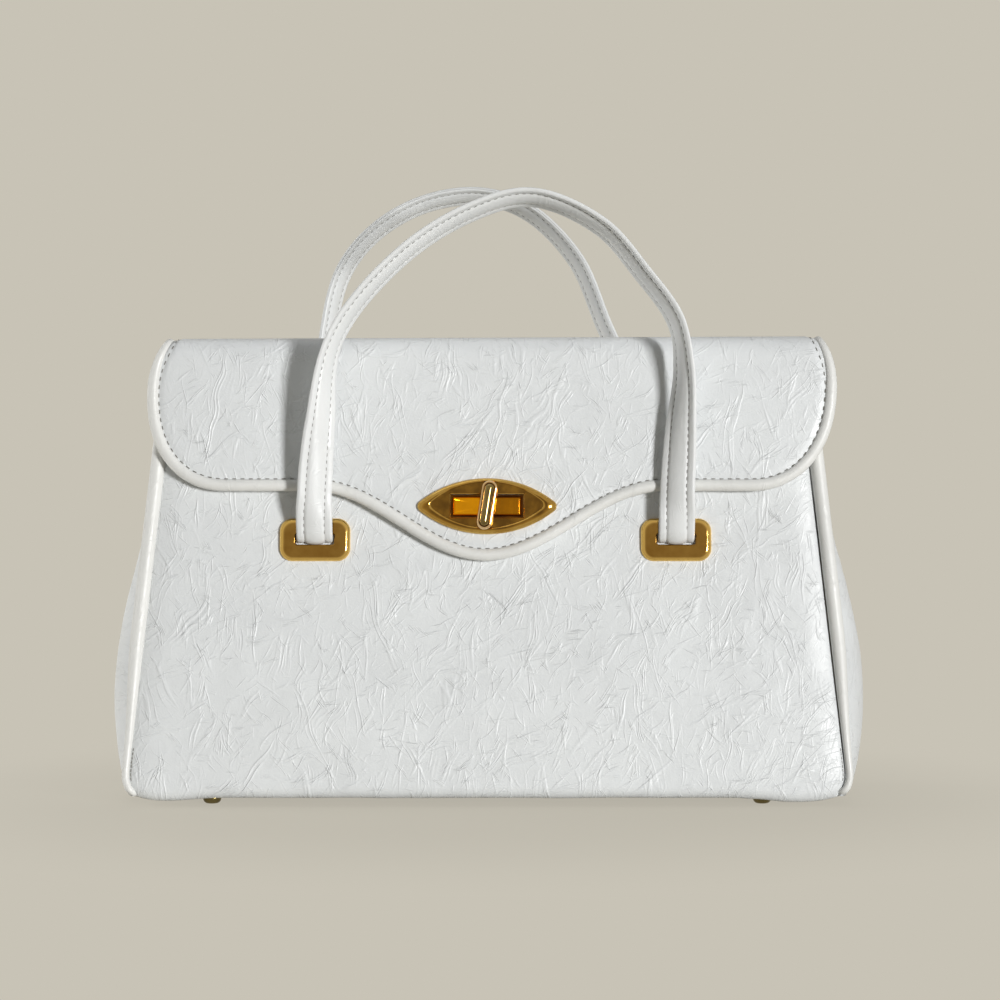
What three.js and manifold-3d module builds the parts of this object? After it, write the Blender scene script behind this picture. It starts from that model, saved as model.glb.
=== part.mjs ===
// A structured top handle bag: an A-shaped vinyl body on four metal feet, a flap with a rolled edge and a
// turn lock, and two strap handles held by slotted metal plates.
// Millimetres, +Z up, the front faces -Y, and the floor is at z = 0 under the middle of the bag.
import * as THREE from 'three';
import { mergeVertices } from 'three/addons/utils/BufferGeometryUtils.js';
import Module from 'manifold-3d';

const wasm = await Module();
wasm.setup();

// Clearance between two pieces that touch
const FIT_GAP = 0.3;

// Body: two leaning panels, a base and two bulging gussets
const BASE_WIDTH = 304;
const TOP_WIDTH = 266;
const BASE_DEPTH = 100;
const TOP_DEPTH = 52;
const BODY_HEIGHT = 188;
const PANEL_FOOT_Z = 4;
const PANEL_THICKNESS = 2.4;
const PANEL_CORNER = 8;
const GUSSET_THICKNESS = 1.6;
const GUSSET_BULGE = 16;
const GUSSET_BULGE_HEIGHT = 52;
const GUSSET_FULLNESS = 3;
const GUSSET_SEAM = 0.6;
const LINING_EASE = 1.2;
const LINING_THICKNESS = 1;
const BACKING_THICKNESS = 0.8;
const WELT_RADIUS = 2.2;
const BINDING_HEIGHT = 2;
const BASE_CLEARANCE = 5;
const BASE_PANEL_THICKNESS = 2.2;
const BASE_BOARD_THICKNESS = 2;
const BASE_CORNER = 4;

// Feet
const FOOT_INSET_X = 35;
const FOOT_INSET_Y = 15;
const FOOT_RADIUS = 3.9;
const FOOT_FLAT_RADIUS = 2;
const FOOT_NECK_RADIUS = 2.6;
const FOOT_NECK_HEIGHT = 1.4;
const FOOT_SHANK_RADIUS = 1.4;
const FOOT_WASHER_RADIUS = 4.6;

// Flap: one bent sheet of cover and lining, with a rolled edge
const FLAP_TOP_WIDTH = 283;
const FLAP_WIDEST_WIDTH = 294.4;
const FLAP_WIDEST_DROP = 21;
const FLAP_CORNER_WIDTH = 36;
const FLAP_CORNER_FULLNESS = 2.2;
const FLAP_HEM_DROP = 65;
const FLAP_TONGUE_WIDTH = 150;
const FLAP_TONGUE_DROP = 29.5;
const FLAP_BEND_RADIUS = 6;
const FLAP_STANDOFF = 2.4;
const FLAP_COVER_THICKNESS = 1.8;
const FLAP_LINING_THICKNESS = 1;
const FLAP_EDGE_RADIUS = 2.4;

// Turn lock
const LOCK_RISE = 22.4;
const LOCK_PLATE_LENGTH = 59;
const LOCK_PLATE_HEIGHT = 24;
const LOCK_PLATE_THICKNESS = 2.7;
const LOCK_TIP_SOFTNESS = 0.9;
const LOCK_RIM_WIDTH = 2.4;
const LOCK_FIELD_DROP = 0.6;
const LOCK_WINDOW_LENGTH = 31;
const LOCK_WINDOW_HEIGHT = 10;
const LOCK_WINDOW_CORNER = 0.4;
const LOCK_BOSS_MARGIN = 0.9;
const LOCK_BOSS_THICKNESS = 1.6;
const LOCK_BOSS_BEVEL = 0.9;
const LOCK_POST_RADIUS = 2;
const LOCK_KNOB_LENGTH = 21;
const LOCK_KNOB_WIDTH = 6.8;
const LOCK_KNOB_DEPTH = 4.2;
const LOCK_KNOB_RIM_DEPTH = 2.5;
const LOCK_KNOB_CREST_WIDTH = 3.4;
const LOCK_KNOB_CREST_TAPER = 0.7;
const LOCK_KNOB_LEAN = THREE.MathUtils.degToRad(9);
const LOCK_RETAINER_RADIUS = 4.2;
const LOCK_RETAINER_THICKNESS = 0.8;
const LOCK_KEEPER_LENGTH = 34;
const LOCK_KEEPER_HEIGHT = 13;
const LOCK_KEEPER_THICKNESS = 0.7;
const LOCK_KEEPER_SLOT_LENGTH = 23;
const LOCK_KEEPER_SLOT_HEIGHT = 8;

// Handle plates and straps
const PLATE_SPACING = 153.4;
const FITTINGS_SHIFT = { front: 3.6, back: 0 };
const PLATE_RISE = 108;
const PLATE_LENGTH = 30;
const PLATE_HEIGHT = 18.3;
const PLATE_CORNER = 5.5;
const PLATE_THICKNESS = 2.6;
const PLATE_BEVEL = 1.8;
const STRAP_WIDTH = 15.4;
const STRAP_PAD_WIDTH = 8.5;
const STRAP_FACE_THICKNESS = 1.8;
const STRAP_BACKING_THICKNESS = 1.3;
const STRAP_EDGE_THICKNESS = 1.1;
const STRAP_SLOT_CLEARANCE = 0.4;
const STRAP_REACH = 5;
const STRAP_REACH_HEIGHT = 18;
const STRAP_TWIST = THREE.MathUtils.degToRad(68);
const STRAP_TWIST_START = 25;
const STRAP_TWIST_END = 85;

// Middle line of each handle above its plates: place across, height. The front one falls to one side.
const FRONT_HANDLE_ARCH = [
  [-76, 25], [-74, 48], [-68, 84], [-42, 117], [-12, 137], [15, 144],
  [44, 132], [62, 112], [76, 92], [79.5, 72], [78, 45], [76.8, 22],
];
const BACK_HANDLE_ARCH = [
  [-75, 30], [-66, 66], [-53, 96], [-40, 126], [-18, 148], [4, 155],
  [30, 151], [52, 138], [66, 120], [73, 92], [76, 48], [76.8, 22],
];

// Smoothness
const CURVE_STEPS = 5;
const TUBE_SIDES = 8;
const ROUND_SIDES = 16;

// Finishes
const VINYL = { color: 0xdedfdf, roughness: 0.42, metalness: 0 };
const TRIM = { color: 0xe2e1da, roughness: 0.4, metalness: 0 };
const LINING = { color: 0xcfc8ba, roughness: 0.8, metalness: 0 };
const BOARD = { color: 0x9a8468, roughness: 0.9, metalness: 0 };
const GOLD = { color: 0xb98a2c, roughness: 0.2, metalness: 1 };
const DARK_BRASS = { color: 0x6b5a2e, roughness: 0.35, metalness: 1 };
const STEEL = { color: 0x9c9c98, roughness: 0.4, metalness: 1 };

// Places worked out from the driving dimensions
const TILT = Math.atan2((BASE_DEPTH - TOP_DEPTH) / 2, BODY_HEIGHT);
const SLANT_LENGTH = BODY_HEIGHT / Math.cos(TILT);
const PANEL_TOP_Z = PANEL_FOOT_Z + BODY_HEIGHT;
const WALL_BACK = PANEL_THICKNESS + FIT_GAP + BACKING_THICKNESS + FIT_GAP;
const WALL_THICKNESS = WALL_BACK + LINING_THICKNESS;
const FLAP_THICKNESS = FLAP_LINING_THICKNESS + FIT_GAP + FLAP_COVER_THICKNESS;
const FLAP_UNDERSIDE_Z = PANEL_TOP_Z + FIT_GAP + BINDING_HEIGHT + FIT_GAP;
const FLAP_TOP_Z = FLAP_UNDERSIDE_Z + FLAP_THICKNESS;
const FLAP_HEM_Z = FLAP_TOP_Z - FLAP_HEM_DROP;
const FLAP_TIP_Z = FLAP_HEM_Z - FLAP_TONGUE_DROP;
const HINGE_RADIUS = FLAP_THICKNESS / 2;
const HINGE_Y = TOP_DEPTH / 2 - HINGE_RADIUS;
const HINGE_Z = FLAP_UNDERSIDE_Z + HINGE_RADIUS;
const STRAP_THICKNESS = STRAP_FACE_THICKNESS + FIT_GAP + STRAP_BACKING_THICKNESS;
const STRAP_SLOT_LENGTH = STRAP_WIDTH + 2 * STRAP_SLOT_CLEARANCE;
const STRAP_SLOT_HEIGHT = STRAP_THICKNESS + 2 * STRAP_SLOT_CLEARANCE;
const FLOOR_Z = BASE_CLEARANCE + BASE_PANEL_THICKNESS + FIT_GAP + BASE_BOARD_THICKNESS + FIT_GAP
  + BACKING_THICKNESS + FIT_GAP;

const bag = new THREE.Group();

function addPiece(parent, name, geometry, finish) {
  const mesh = new THREE.Mesh(geometry, new THREE.MeshStandardMaterial(finish));
  mesh.name = name;
  parent.add(mesh);
  return mesh;
}

// Closed geometry from points and triangles, with its faces turned outwards
function closedGeometry(points, triangles) {
  let volume = 0;
  for (const [a, b, c] of triangles) {
    volume += points[a].dot(new THREE.Vector3().crossVectors(points[b], points[c]));
  }
  const indices = volume > 0 ? triangles.flat() : triangles.flatMap(([a, b, c]) => [a, c, b]);
  const geometry = new THREE.BufferGeometry();
  const places = points.flatMap((p) => p.toArray());
  geometry.setAttribute('position', new THREE.Float32BufferAttribute(places, 3));
  geometry.setIndex(indices);
  return geometry;
}

function toSolid(geometry) {
  const bare = geometry.clone();
  bare.deleteAttribute('normal');
  bare.deleteAttribute('uv');
  const merged = mergeVertices(bare, 1e-4);
  return new wasm.Manifold(new wasm.Mesh({
    numProp: 3,
    vertProperties: new Float32Array(merged.attributes.position.array),
    triVerts: new Uint32Array(merged.index.array),
  }));
}

function toGeometry(solid) {
  const mesh = solid.getMesh();
  const geometry = new THREE.BufferGeometry();
  geometry.setAttribute('position', new THREE.Float32BufferAttribute(mesh.vertProperties, 3));
  geometry.setIndex([...mesh.triVerts]);
  return geometry;
}

// Rings of equally many points joined into a band; a closed band is a solid ring, an open one is capped
function ringBand(rings, closed) {
  const sides = rings[0].length;
  const points = rings.flat();
  const triangles = [];
  const last = closed ? rings.length : rings.length - 1;
  for (let r = 0; r < last; r += 1) {
    const here = r * sides;
    const next = ((r + 1) % rings.length) * sides;
    for (let i = 0; i < sides; i += 1) {
      const j = (i + 1) % sides;
      triangles.push([here + i, here + j, next + j], [here + i, next + j, next + i]);
    }
  }
  if (!closed) {
    const end = (rings.length - 1) * sides;
    for (let i = 1; i < sides - 1; i += 1) {
      triangles.push([0, i + 1, i], [end, end + i, end + i + 1]);
    }
  }
  return closedGeometry(points, triangles);
}

// A curved wall between an outer and an inner surface, each a function of two values from 0 to 1
function wallBetween(outer, inner, across, along) {
  const points = [];
  for (const surface of [outer, inner]) {
    for (let i = 0; i <= along; i += 1) {
      for (let j = 0; j <= across; j += 1) {
        points.push(surface(j / across, i / along));
      }
    }
  }
  const row = across + 1;
  const layer = row * (along + 1);
  const triangles = [];
  const quad = (a, b, c, d) => triangles.push([a, b, c], [a, c, d]);
  for (let i = 0; i < along; i += 1) {
    for (let j = 0; j < across; j += 1) {
      const a = i * row + j;
      quad(a, a + 1, a + row + 1, a + row);
      quad(layer + a, layer + a + row, layer + a + row + 1, layer + a + 1);
    }
    const left = i * row;
    const right = left + across;
    quad(left, left + row, layer + left + row, layer + left);
    quad(right, layer + right, layer + right + row, right + row);
  }
  for (let j = 0; j < across; j += 1) {
    const top = along * row + j;
    quad(j, layer + j, layer + j + 1, j + 1);
    quad(top, top + 1, layer + top + 1, layer + top);
  }
  return closedGeometry(points, triangles);
}

// Outlines on a flat plate, as points round it in the same order and number, starting at the right
const OUTLINE_POINTS = 32;

function roundedRectangle(length, height, corner) {
  const points = [];
  const perCorner = OUTLINE_POINTS / 4;
  for (let c = 0; c < 4; c += 1) {
    const signX = c === 0 || c === 3 ? 1 : -1;
    const signY = c < 2 ? 1 : -1;
    for (let i = 0; i < perCorner; i += 1) {
      const angle = (c + i / (perCorner - 1)) * Math.PI / 2;
      points.push(new THREE.Vector2(
        signX * (length / 2 - corner) + corner * Math.cos(angle),
        signY * (height / 2 - corner) + corner * Math.sin(angle),
      ));
    }
  }
  return points;
}

// A pointed oval of two arcs, with its two tips softened
function pointedOval(length, height) {
  const points = [];
  const halfLength = length / 2;
  const halfHeight = height / 2;
  for (let i = 0; i < OUTLINE_POINTS; i += 1) {
    const angle = (i + 0.5) / OUTLINE_POINTS * 2 * Math.PI;
    const x = Math.cos(angle);
    const bow = (1 - Math.abs(x) ** (1 + LOCK_TIP_SOFTNESS)) ** LOCK_TIP_SOFTNESS;
    points.push(new THREE.Vector2(halfLength * x, Math.sign(Math.sin(angle)) * halfHeight * bow));
  }
  return points;
}

function circleOutline(radius, count = OUTLINE_POINTS) {
  const points = [];
  for (let i = 0; i < count; i += 1) {
    const angle = (i + 0.5) / count * 2 * Math.PI;
    points.push(new THREE.Vector2(radius * Math.cos(angle), radius * Math.sin(angle)));
  }
  return points;
}

const ringAt = (outline, z) => outline.map((p) => new THREE.Vector3(p.x, p.y, z));

function washerRing(outerRadius, boreRadius, thickness) {
  const outer = circleOutline(outerRadius, ROUND_SIDES);
  const bore = circleOutline(boreRadius, ROUND_SIDES);
  const rings = [ringAt(outer, 0), ringAt(outer, thickness), ringAt(bore, thickness), ringAt(bore, 0)];
  return ringBand(rings, true);
}

// A flat sheet cut to a shape, its outer face at the given height over its group's plane
function sheet(shape, thickness, outerZ) {
  const geometry = new THREE.ExtrudeGeometry(shape, {
    depth: thickness, bevelEnabled: false, curveSegments: CURVE_STEPS,
  });
  geometry.translate(0, 0, outerZ - thickness);
  return geometry;
}

function tubeAlong(curve, radius, steps) {
  const section = new THREE.Shape();
  section.absarc(0, 0, radius, 0, 2 * Math.PI, false);
  return new THREE.ExtrudeGeometry(section, {
    extrudePath: curve, steps, bevelEnabled: false, curveSegments: TUBE_SIDES / 2,
  });
}

function shapeOf(outline) {
  return new THREE.Shape(outline);
}

function holeIn(shape, outline) {
  shape.holes.push(new THREE.Path(outline));
}

// Leaning faces: x across, y up the slope from the panel's foot, z outwards from its outer surface
function leaningFace(turn) {
  const side = new THREE.Group();
  side.rotation.z = turn;
  const face = new THREE.Group();
  face.position.set(0, -BASE_DEPTH / 2, PANEL_FOOT_Z);
  face.rotation.x = Math.PI / 2 - TILT;
  side.add(face);
  bag.add(side);
  return face;
}

const slopeAt = (z) => (z - PANEL_FOOT_Z) / Math.cos(TILT);
const seamAtSlope = (slope) => THREE.MathUtils.lerp(BASE_WIDTH, TOP_WIDTH, slope / SLANT_LENGTH) / 2;

function facePoint(slope, out) {
  return {
    y: -BASE_DEPTH / 2 + slope * Math.sin(TILT) - out * Math.cos(TILT),
    z: PANEL_FOOT_Z + slope * Math.cos(TILT) + out * Math.sin(TILT),
  };
}

// A trapezoid between two places up the slope, its sides set in from the seams, lower corners rounded
function panelShape(inset, foot, head, corner) {
  const footHalf = seamAtSlope(foot) - inset;
  const headHalf = seamAtSlope(head) - inset;
  const cornerHalf = seamAtSlope(foot + corner) - inset;
  const shape = new THREE.Shape();
  shape.moveTo(headHalf, head);
  shape.lineTo(-headHalf, head);
  shape.lineTo(-cornerHalf, foot + corner);
  shape.quadraticCurveTo(-footHalf, foot, -footHalf + corner, foot);
  shape.lineTo(footHalf - corner, foot);
  shape.quadraticCurveTo(footHalf, foot, cornerHalf, foot + corner);
  shape.closePath();
  return shape;
}

const plateSlope = slopeAt(PANEL_FOOT_Z + PLATE_RISE);
const PLATE_SIDES = { left: -1, right: 1 };
const slotOutline = (grow) => roundedRectangle(
  STRAP_SLOT_LENGTH + 2 * grow, STRAP_SLOT_HEIGHT + 2 * grow, STRAP_SLOT_HEIGHT / 4,
);
const shifted = (outline, x, y) => outline.map((p) => new THREE.Vector2(p.x + x, p.y + y));

function buildPanel(face, end) {
  const shape = panelShape(0, 0, SLANT_LENGTH, PANEL_CORNER);
  for (const sign of Object.values(PLATE_SIDES)) {
    holeIn(shape, shifted(slotOutline(0), sign * PLATE_SPACING / 2 + FITTINGS_SHIFT[end], plateSlope));
  }
  addPiece(face, `${end}_panel`, sheet(shape, PANEL_THICKNESS, 0), VINYL);

  const liningFoot = slopeAt(FLOOR_Z + LINING_THICKNESS + FIT_GAP) + WALL_THICKNESS * Math.tan(TILT);
  const liningInset = GUSSET_THICKNESS + GUSSET_SEAM;
  const liningShape = panelShape(liningInset, liningFoot, SLANT_LENGTH, PANEL_CORNER);
  addPiece(face, `lining_${end}`, sheet(liningShape, LINING_THICKNESS, -WALL_BACK), LINING);

  const bindingShape = new THREE.Shape();
  const crown = WALL_THICKNESS / 2;
  bindingShape.moveTo(-crown, 0);
  bindingShape.lineTo(crown, 0);
  bindingShape.quadraticCurveTo(crown, BINDING_HEIGHT, 0, BINDING_HEIGHT);
  bindingShape.quadraticCurveTo(-crown, BINDING_HEIGHT, -crown, 0);
  const bindingLength = TOP_WIDTH - 2 * liningInset;
  const binding = new THREE.ExtrudeGeometry(bindingShape, {
    depth: bindingLength, bevelEnabled: false, curveSegments: CURVE_STEPS,
  });
  binding.rotateY(Math.PI / 2);
  binding.translate(-bindingLength / 2, SLANT_LENGTH + FIT_GAP, -crown);
  addPiece(face, `mouth_binding_${end}`, binding, TRIM);
}

// Rolled welts stand just outside the panel's side seams and turn in round half of its lower corners
function buildWelts(face, end) {
  const cornerSteps = 4;
  const section = circleOutline(WELT_RADIUS, TUBE_SIDES);
  for (const [sideName, sign] of Object.entries(PLATE_SIDES)) {
    const footX = sign * seamAtSlope(0);
    const corner = new THREE.QuadraticBezierCurve(
      new THREE.Vector2(sign * seamAtSlope(PANEL_CORNER), PANEL_CORNER),
      new THREE.Vector2(footX, 0),
      new THREE.Vector2(footX - sign * PANEL_CORNER, 0),
    );
    const ringBeside = (place, along) => {
      const outward = new THREE.Vector2(-along.y, along.x).multiplyScalar(sign);
      return section.map((p) => {
        const point = place.clone().addScaledVector(outward, FIT_GAP + WELT_RADIUS + p.x);
        return new THREE.Vector3(point.x, point.y, p.y - PANEL_THICKNESS / 2);
      });
    };
    const head = new THREE.Vector2(sign * seamAtSlope(SLANT_LENGTH), SLANT_LENGTH);
    const rings = [ringBeside(head, corner.getTangent(0))];
    for (let i = 0; i <= cornerSteps; i += 1) {
      const share = i / cornerSteps / 2;
      rings.push(ringBeside(corner.getPoint(share), corner.getTangent(share)));
    }
    addPiece(face, `side_welt_${end}_${sideName}`, ringBand(rings, false), TRIM);
  }
}

function buildHandlePlates(face, end) {
  for (const [sideName, sign] of Object.entries(PLATE_SIDES)) {
    const seat = new THREE.Group();
    seat.position.set(sign * PLATE_SPACING / 2 + FITTINGS_SHIFT[end], plateSlope, 0);
    face.add(seat);

    const outline = (inset) => roundedRectangle(
      PLATE_LENGTH - 2 * inset, PLATE_HEIGHT - 2 * inset, PLATE_CORNER - inset,
    );
    const back = FIT_GAP;
    const front = FIT_GAP + PLATE_THICKNESS;
    const rings = [
      ringAt(outline(0), back),
      ringAt(outline(0), front - PLATE_BEVEL),
      ringAt(outline(PLATE_BEVEL / 3), front - PLATE_BEVEL / 3),
      ringAt(outline(PLATE_BEVEL), front),
      ringAt(slotOutline(FIT_GAP), front),
      ringAt(slotOutline(0), front - FIT_GAP),
      ringAt(slotOutline(0), back),
    ];
    addPiece(seat, `handle_plate_${end}_${sideName}`, ringBand(rings, true), GOLD);

    const backing = shapeOf(roundedRectangle(PLATE_LENGTH, PLATE_HEIGHT, PLATE_CORNER));
    holeIn(backing, slotOutline(0));
    const backingSheet = sheet(backing, BACKING_THICKNESS, -PANEL_THICKNESS - FIT_GAP);
    addPiece(seat, `plate_backing_${end}_${sideName}`, backingSheet, STEEL);

    const anchorLength = front + PANEL_THICKNESS + FIT_GAP + BACKING_THICKNESS;
    const anchor = shapeOf(roundedRectangle(STRAP_WIDTH, STRAP_THICKNESS, STRAP_THICKNESS / 4));
    addPiece(seat, `strap_end_${end}_${sideName}`, sheet(anchor, anchorLength, front), TRIM);
  }
}

// Gussets close the sides, bulging most a little above the base and least at the mouth
function gussetSurface(sign, inset, wallBehind, footZ) {
  return (u, v) => {
    const z = THREE.MathUtils.lerp(footZ, PANEL_TOP_Z, v ** GUSSET_ROW_BIAS);
    const rise = (z - PANEL_FOOT_Z) / GUSSET_BULGE_HEIGHT;
    const bulge = GUSSET_BULGE * Math.sqrt(rise) * Math.exp((1 - rise * rise) / 4);
    const innerDepth = BASE_DEPTH / 2 - (z - PANEL_FOOT_Z) * Math.tan(TILT);
    const y = (2 * u - 1) * (innerDepth - wallBehind / Math.cos(TILT));
    const seam = seamAtSlope(slopeAt(z));
    const x = seam - inset + bulge * (1 - Math.abs(y / innerDepth) ** GUSSET_FULLNESS);
    return new THREE.Vector3(sign * x, y, z);
  };
}

const GUSSET_ACROSS = 10;
const GUSSET_ALONG = 12;
const GUSSET_ROW_BIAS = 1.5;

function buildGussets() {
  const footZ = BASE_CLEARANCE;
  const seamBehind = PANEL_THICKNESS / 2 + WELT_RADIUS + FIT_GAP;
  const liningBehind = WALL_THICKNESS + GUSSET_SEAM;
  const liningInset = GUSSET_THICKNESS + LINING_EASE;
  const liningFoot = FLOOR_Z + LINING_THICKNESS + FIT_GAP;
  for (const [sideName, sign] of Object.entries(PLATE_SIDES)) {
    const gusset = wallBetween(
      gussetSurface(sign, 0, seamBehind, footZ),
      gussetSurface(sign, GUSSET_THICKNESS, seamBehind, footZ),
      GUSSET_ACROSS, GUSSET_ALONG,
    );
    addPiece(bag, `gusset_${sideName}`, gusset, VINYL);
    const lining = wallBetween(
      gussetSurface(sign, liningInset, liningBehind, liningFoot),
      gussetSurface(sign, liningInset + LINING_THICKNESS, liningBehind, liningFoot),
      GUSSET_ACROSS, GUSSET_ALONG,
    );
    addPiece(bag, `lining_${sideName}`, lining, LINING);
  }
}

// Base, its board, the lining floor, and the feet riveted through them
function footPlaces() {
  const places = {};
  const footX = BASE_WIDTH / 2 - FOOT_INSET_X;
  const footY = BASE_DEPTH / 2 - FOOT_INSET_Y;
  for (const [sideName, signX] of Object.entries(PLATE_SIDES)) {
    places[`front_${sideName}`] = [signX * footX, -footY];
    places[`back_${sideName}`] = [signX * footX, footY];
  }
  return places;
}

function buildBase() {
  const gussetRoom = GUSSET_THICKNESS + FIT_GAP;
  const panelRoom = (PANEL_THICKNESS + FIT_GAP) / Math.cos(TILT);
  const lean = (z) => (z - PANEL_FOOT_Z) * Math.tan(TILT);
  const narrowing = (z) => (BASE_WIDTH - TOP_WIDTH) * (z - PANEL_FOOT_Z) / BODY_HEIGHT;
  const boardZ = BASE_CLEARANCE + BASE_PANEL_THICKNESS + FIT_GAP;
  const washerZ = boardZ + BASE_BOARD_THICKNESS + FIT_GAP;
  const layers = [
    ['base_panel', BASE_CLEARANCE, BASE_PANEL_THICKNESS, panelRoom, true, VINYL],
    ['base_board', boardZ, BASE_BOARD_THICKNESS, panelRoom, true, BOARD],
    ['lining_floor', FLOOR_Z, LINING_THICKNESS, (WALL_THICKNESS + FIT_GAP) / Math.cos(TILT), false, LINING],
  ];
  for (const [name, z, thickness, frontRoom, drilled, finish] of layers) {
    const top = z + thickness;
    const length = BASE_WIDTH - narrowing(top) - 2 * gussetRoom;
    const depth = BASE_DEPTH - 2 * lean(top) - 2 * frontRoom;
    const shape = shapeOf(roundedRectangle(length, depth, BASE_CORNER));
    if (drilled) {
      for (const [x, y] of Object.values(footPlaces())) {
        const bore = new THREE.Path();
        bore.absarc(x, y, FOOT_SHANK_RADIUS + FIT_GAP, 0, 2 * Math.PI, true);
        shape.holes.push(bore);
      }
    }
    addPiece(bag, name, sheet(shape, thickness, top), finish);
  }

  const domeTop = BASE_CLEARANCE - FIT_GAP;
  const domeSteps = 4;
  const profile = [new THREE.Vector2(0, 0)];
  for (let i = 0; i <= domeSteps; i += 1) {
    const share = i / domeSteps;
    const radius = FOOT_FLAT_RADIUS + (FOOT_RADIUS - FOOT_FLAT_RADIUS) * Math.sin(share * Math.PI / 2);
    profile.push(new THREE.Vector2(radius, (1 - Math.cos(share * Math.PI / 2)) * domeTop / 2));
  }
  profile.push(new THREE.Vector2(FOOT_RADIUS, domeTop - FOOT_NECK_HEIGHT));
  profile.push(new THREE.Vector2(FOOT_NECK_RADIUS, domeTop));
  profile.push(new THREE.Vector2(FOOT_SHANK_RADIUS, domeTop));
  profile.push(new THREE.Vector2(FOOT_SHANK_RADIUS, washerZ + BACKING_THICKNESS));
  profile.push(new THREE.Vector2(0, washerZ + BACKING_THICKNESS));
  for (const [place, [x, y]] of Object.entries(footPlaces())) {
    const foot = new THREE.LatheGeometry(profile, ROUND_SIDES);
    foot.rotateX(Math.PI / 2);
    const footPiece = addPiece(bag, `foot_${place}`, foot, DARK_BRASS);
    footPiece.position.set(x, y, 0);

    const washer = washerRing(FOOT_WASHER_RADIUS, FOOT_SHANK_RADIUS + FIT_GAP, BACKING_THICKNESS);
    const washerPiece = addPiece(bag, `foot_washer_${place}`, washer, STEEL);
    washerPiece.position.set(x, y, washerZ);
  }
}

// Flap section: back to front over the mouth, round a soft bend and down parallel to the front panel
const dropNormal = { y: -Math.cos(TILT), z: Math.sin(TILT) };
const panelReach = dropNormal.y * (-BASE_DEPTH / 2) + dropNormal.z * PANEL_FOOT_Z;
const bendZ = FLAP_UNDERSIDE_Z - FLAP_BEND_RADIUS;
const bendY = (dropNormal.z * bendZ + FLAP_BEND_RADIUS - panelReach - FLAP_STANDOFF) / Math.cos(TILT);
const bendSweep = Math.PI / 2 - TILT;
const flapBackY = HINGE_Y - HINGE_RADIUS - FIT_GAP;

function bendPoint(offset, share) {
  const angle = Math.PI / 2 + share * bendSweep;
  const radius = FLAP_BEND_RADIUS + offset;
  return { y: bendY + radius * Math.cos(angle), z: bendZ + radius * Math.sin(angle) };
}

function dropPoint(offset, z) {
  const start = bendPoint(offset, 1);
  return { y: start.y - (start.z - z) * Math.tan(TILT), z };
}

function flapLine(offset, lowestZ) {
  const line = [new THREE.Vector2(flapBackY, FLAP_UNDERSIDE_Z + offset)];
  for (let i = 0; i <= CURVE_STEPS; i += 1) {
    const p = bendPoint(offset, i / CURVE_STEPS);
    line.push(new THREE.Vector2(p.y, p.z));
  }
  const low = dropPoint(offset, lowestZ);
  line.push(new THREE.Vector2(low.y, low.z));
  return line;
}

// Right half of the flap's front outline: down the side, round the corner and to the tongue's tip
const flapCornerZ = FLAP_TOP_Z - FLAP_WIDEST_DROP;

function flapHalfOutline() {
  const points = [];
  const topHalf = FLAP_TOP_WIDTH / 2;
  const widestHalf = FLAP_WIDEST_WIDTH / 2;
  const cornerX = widestHalf - FLAP_CORNER_WIDTH;
  const cornerHeight = flapCornerZ - FLAP_HEM_Z;
  const tongueHalf = FLAP_TONGUE_WIDTH / 2;
  const roundness = 2 / FLAP_CORNER_FULLNESS;
  const sideSteps = 6;
  const cornerSteps = 12;
  const tongueSteps = 14;
  for (let i = 0; i < sideSteps; i += 1) {
    const share = 1 - i / sideSteps;
    const x = widestHalf - (widestHalf - topHalf) * share ** 2;
    points.push(new THREE.Vector2(x, flapCornerZ + FLAP_WIDEST_DROP * share));
  }
  for (let i = 0; i <= cornerSteps; i += 1) {
    const angle = i / cornerSteps * Math.PI / 2;
    const x = cornerX + FLAP_CORNER_WIDTH * Math.max(Math.cos(angle), 0) ** roundness;
    points.push(new THREE.Vector2(x, flapCornerZ - cornerHeight * Math.sin(angle) ** roundness));
  }
  for (let i = 0; i <= tongueSteps; i += 1) {
    const x = tongueHalf * (1 - i / tongueSteps);
    const dip = FLAP_TONGUE_DROP * (1 + Math.cos(Math.PI * x / tongueHalf)) / 2;
    points.push(new THREE.Vector2(x, FLAP_HEM_Z - dip));
  }
  return points;
}

// Whole front outline from the right end of the top edge round to the left end, set in by a distance
function flapOutline(inset) {
  const half = flapHalfOutline();
  const mirrored = half.slice(0, -1).reverse().map((p) => new THREE.Vector2(-p.x, p.y));
  const whole = [...half, ...mirrored];
  return whole.map((p, i) => {
    const before = whole[Math.max(i - 1, 0)];
    const after = whole[Math.min(i + 1, whole.length - 1)];
    const along = after.clone().sub(before).normalize();
    if (p.y > flapCornerZ) {
      return new THREE.Vector2(p.x + inset / along.y, p.y);
    }
    return new THREE.Vector2(p.x + along.y * inset, p.y - along.x * inset);
  });
}

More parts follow.
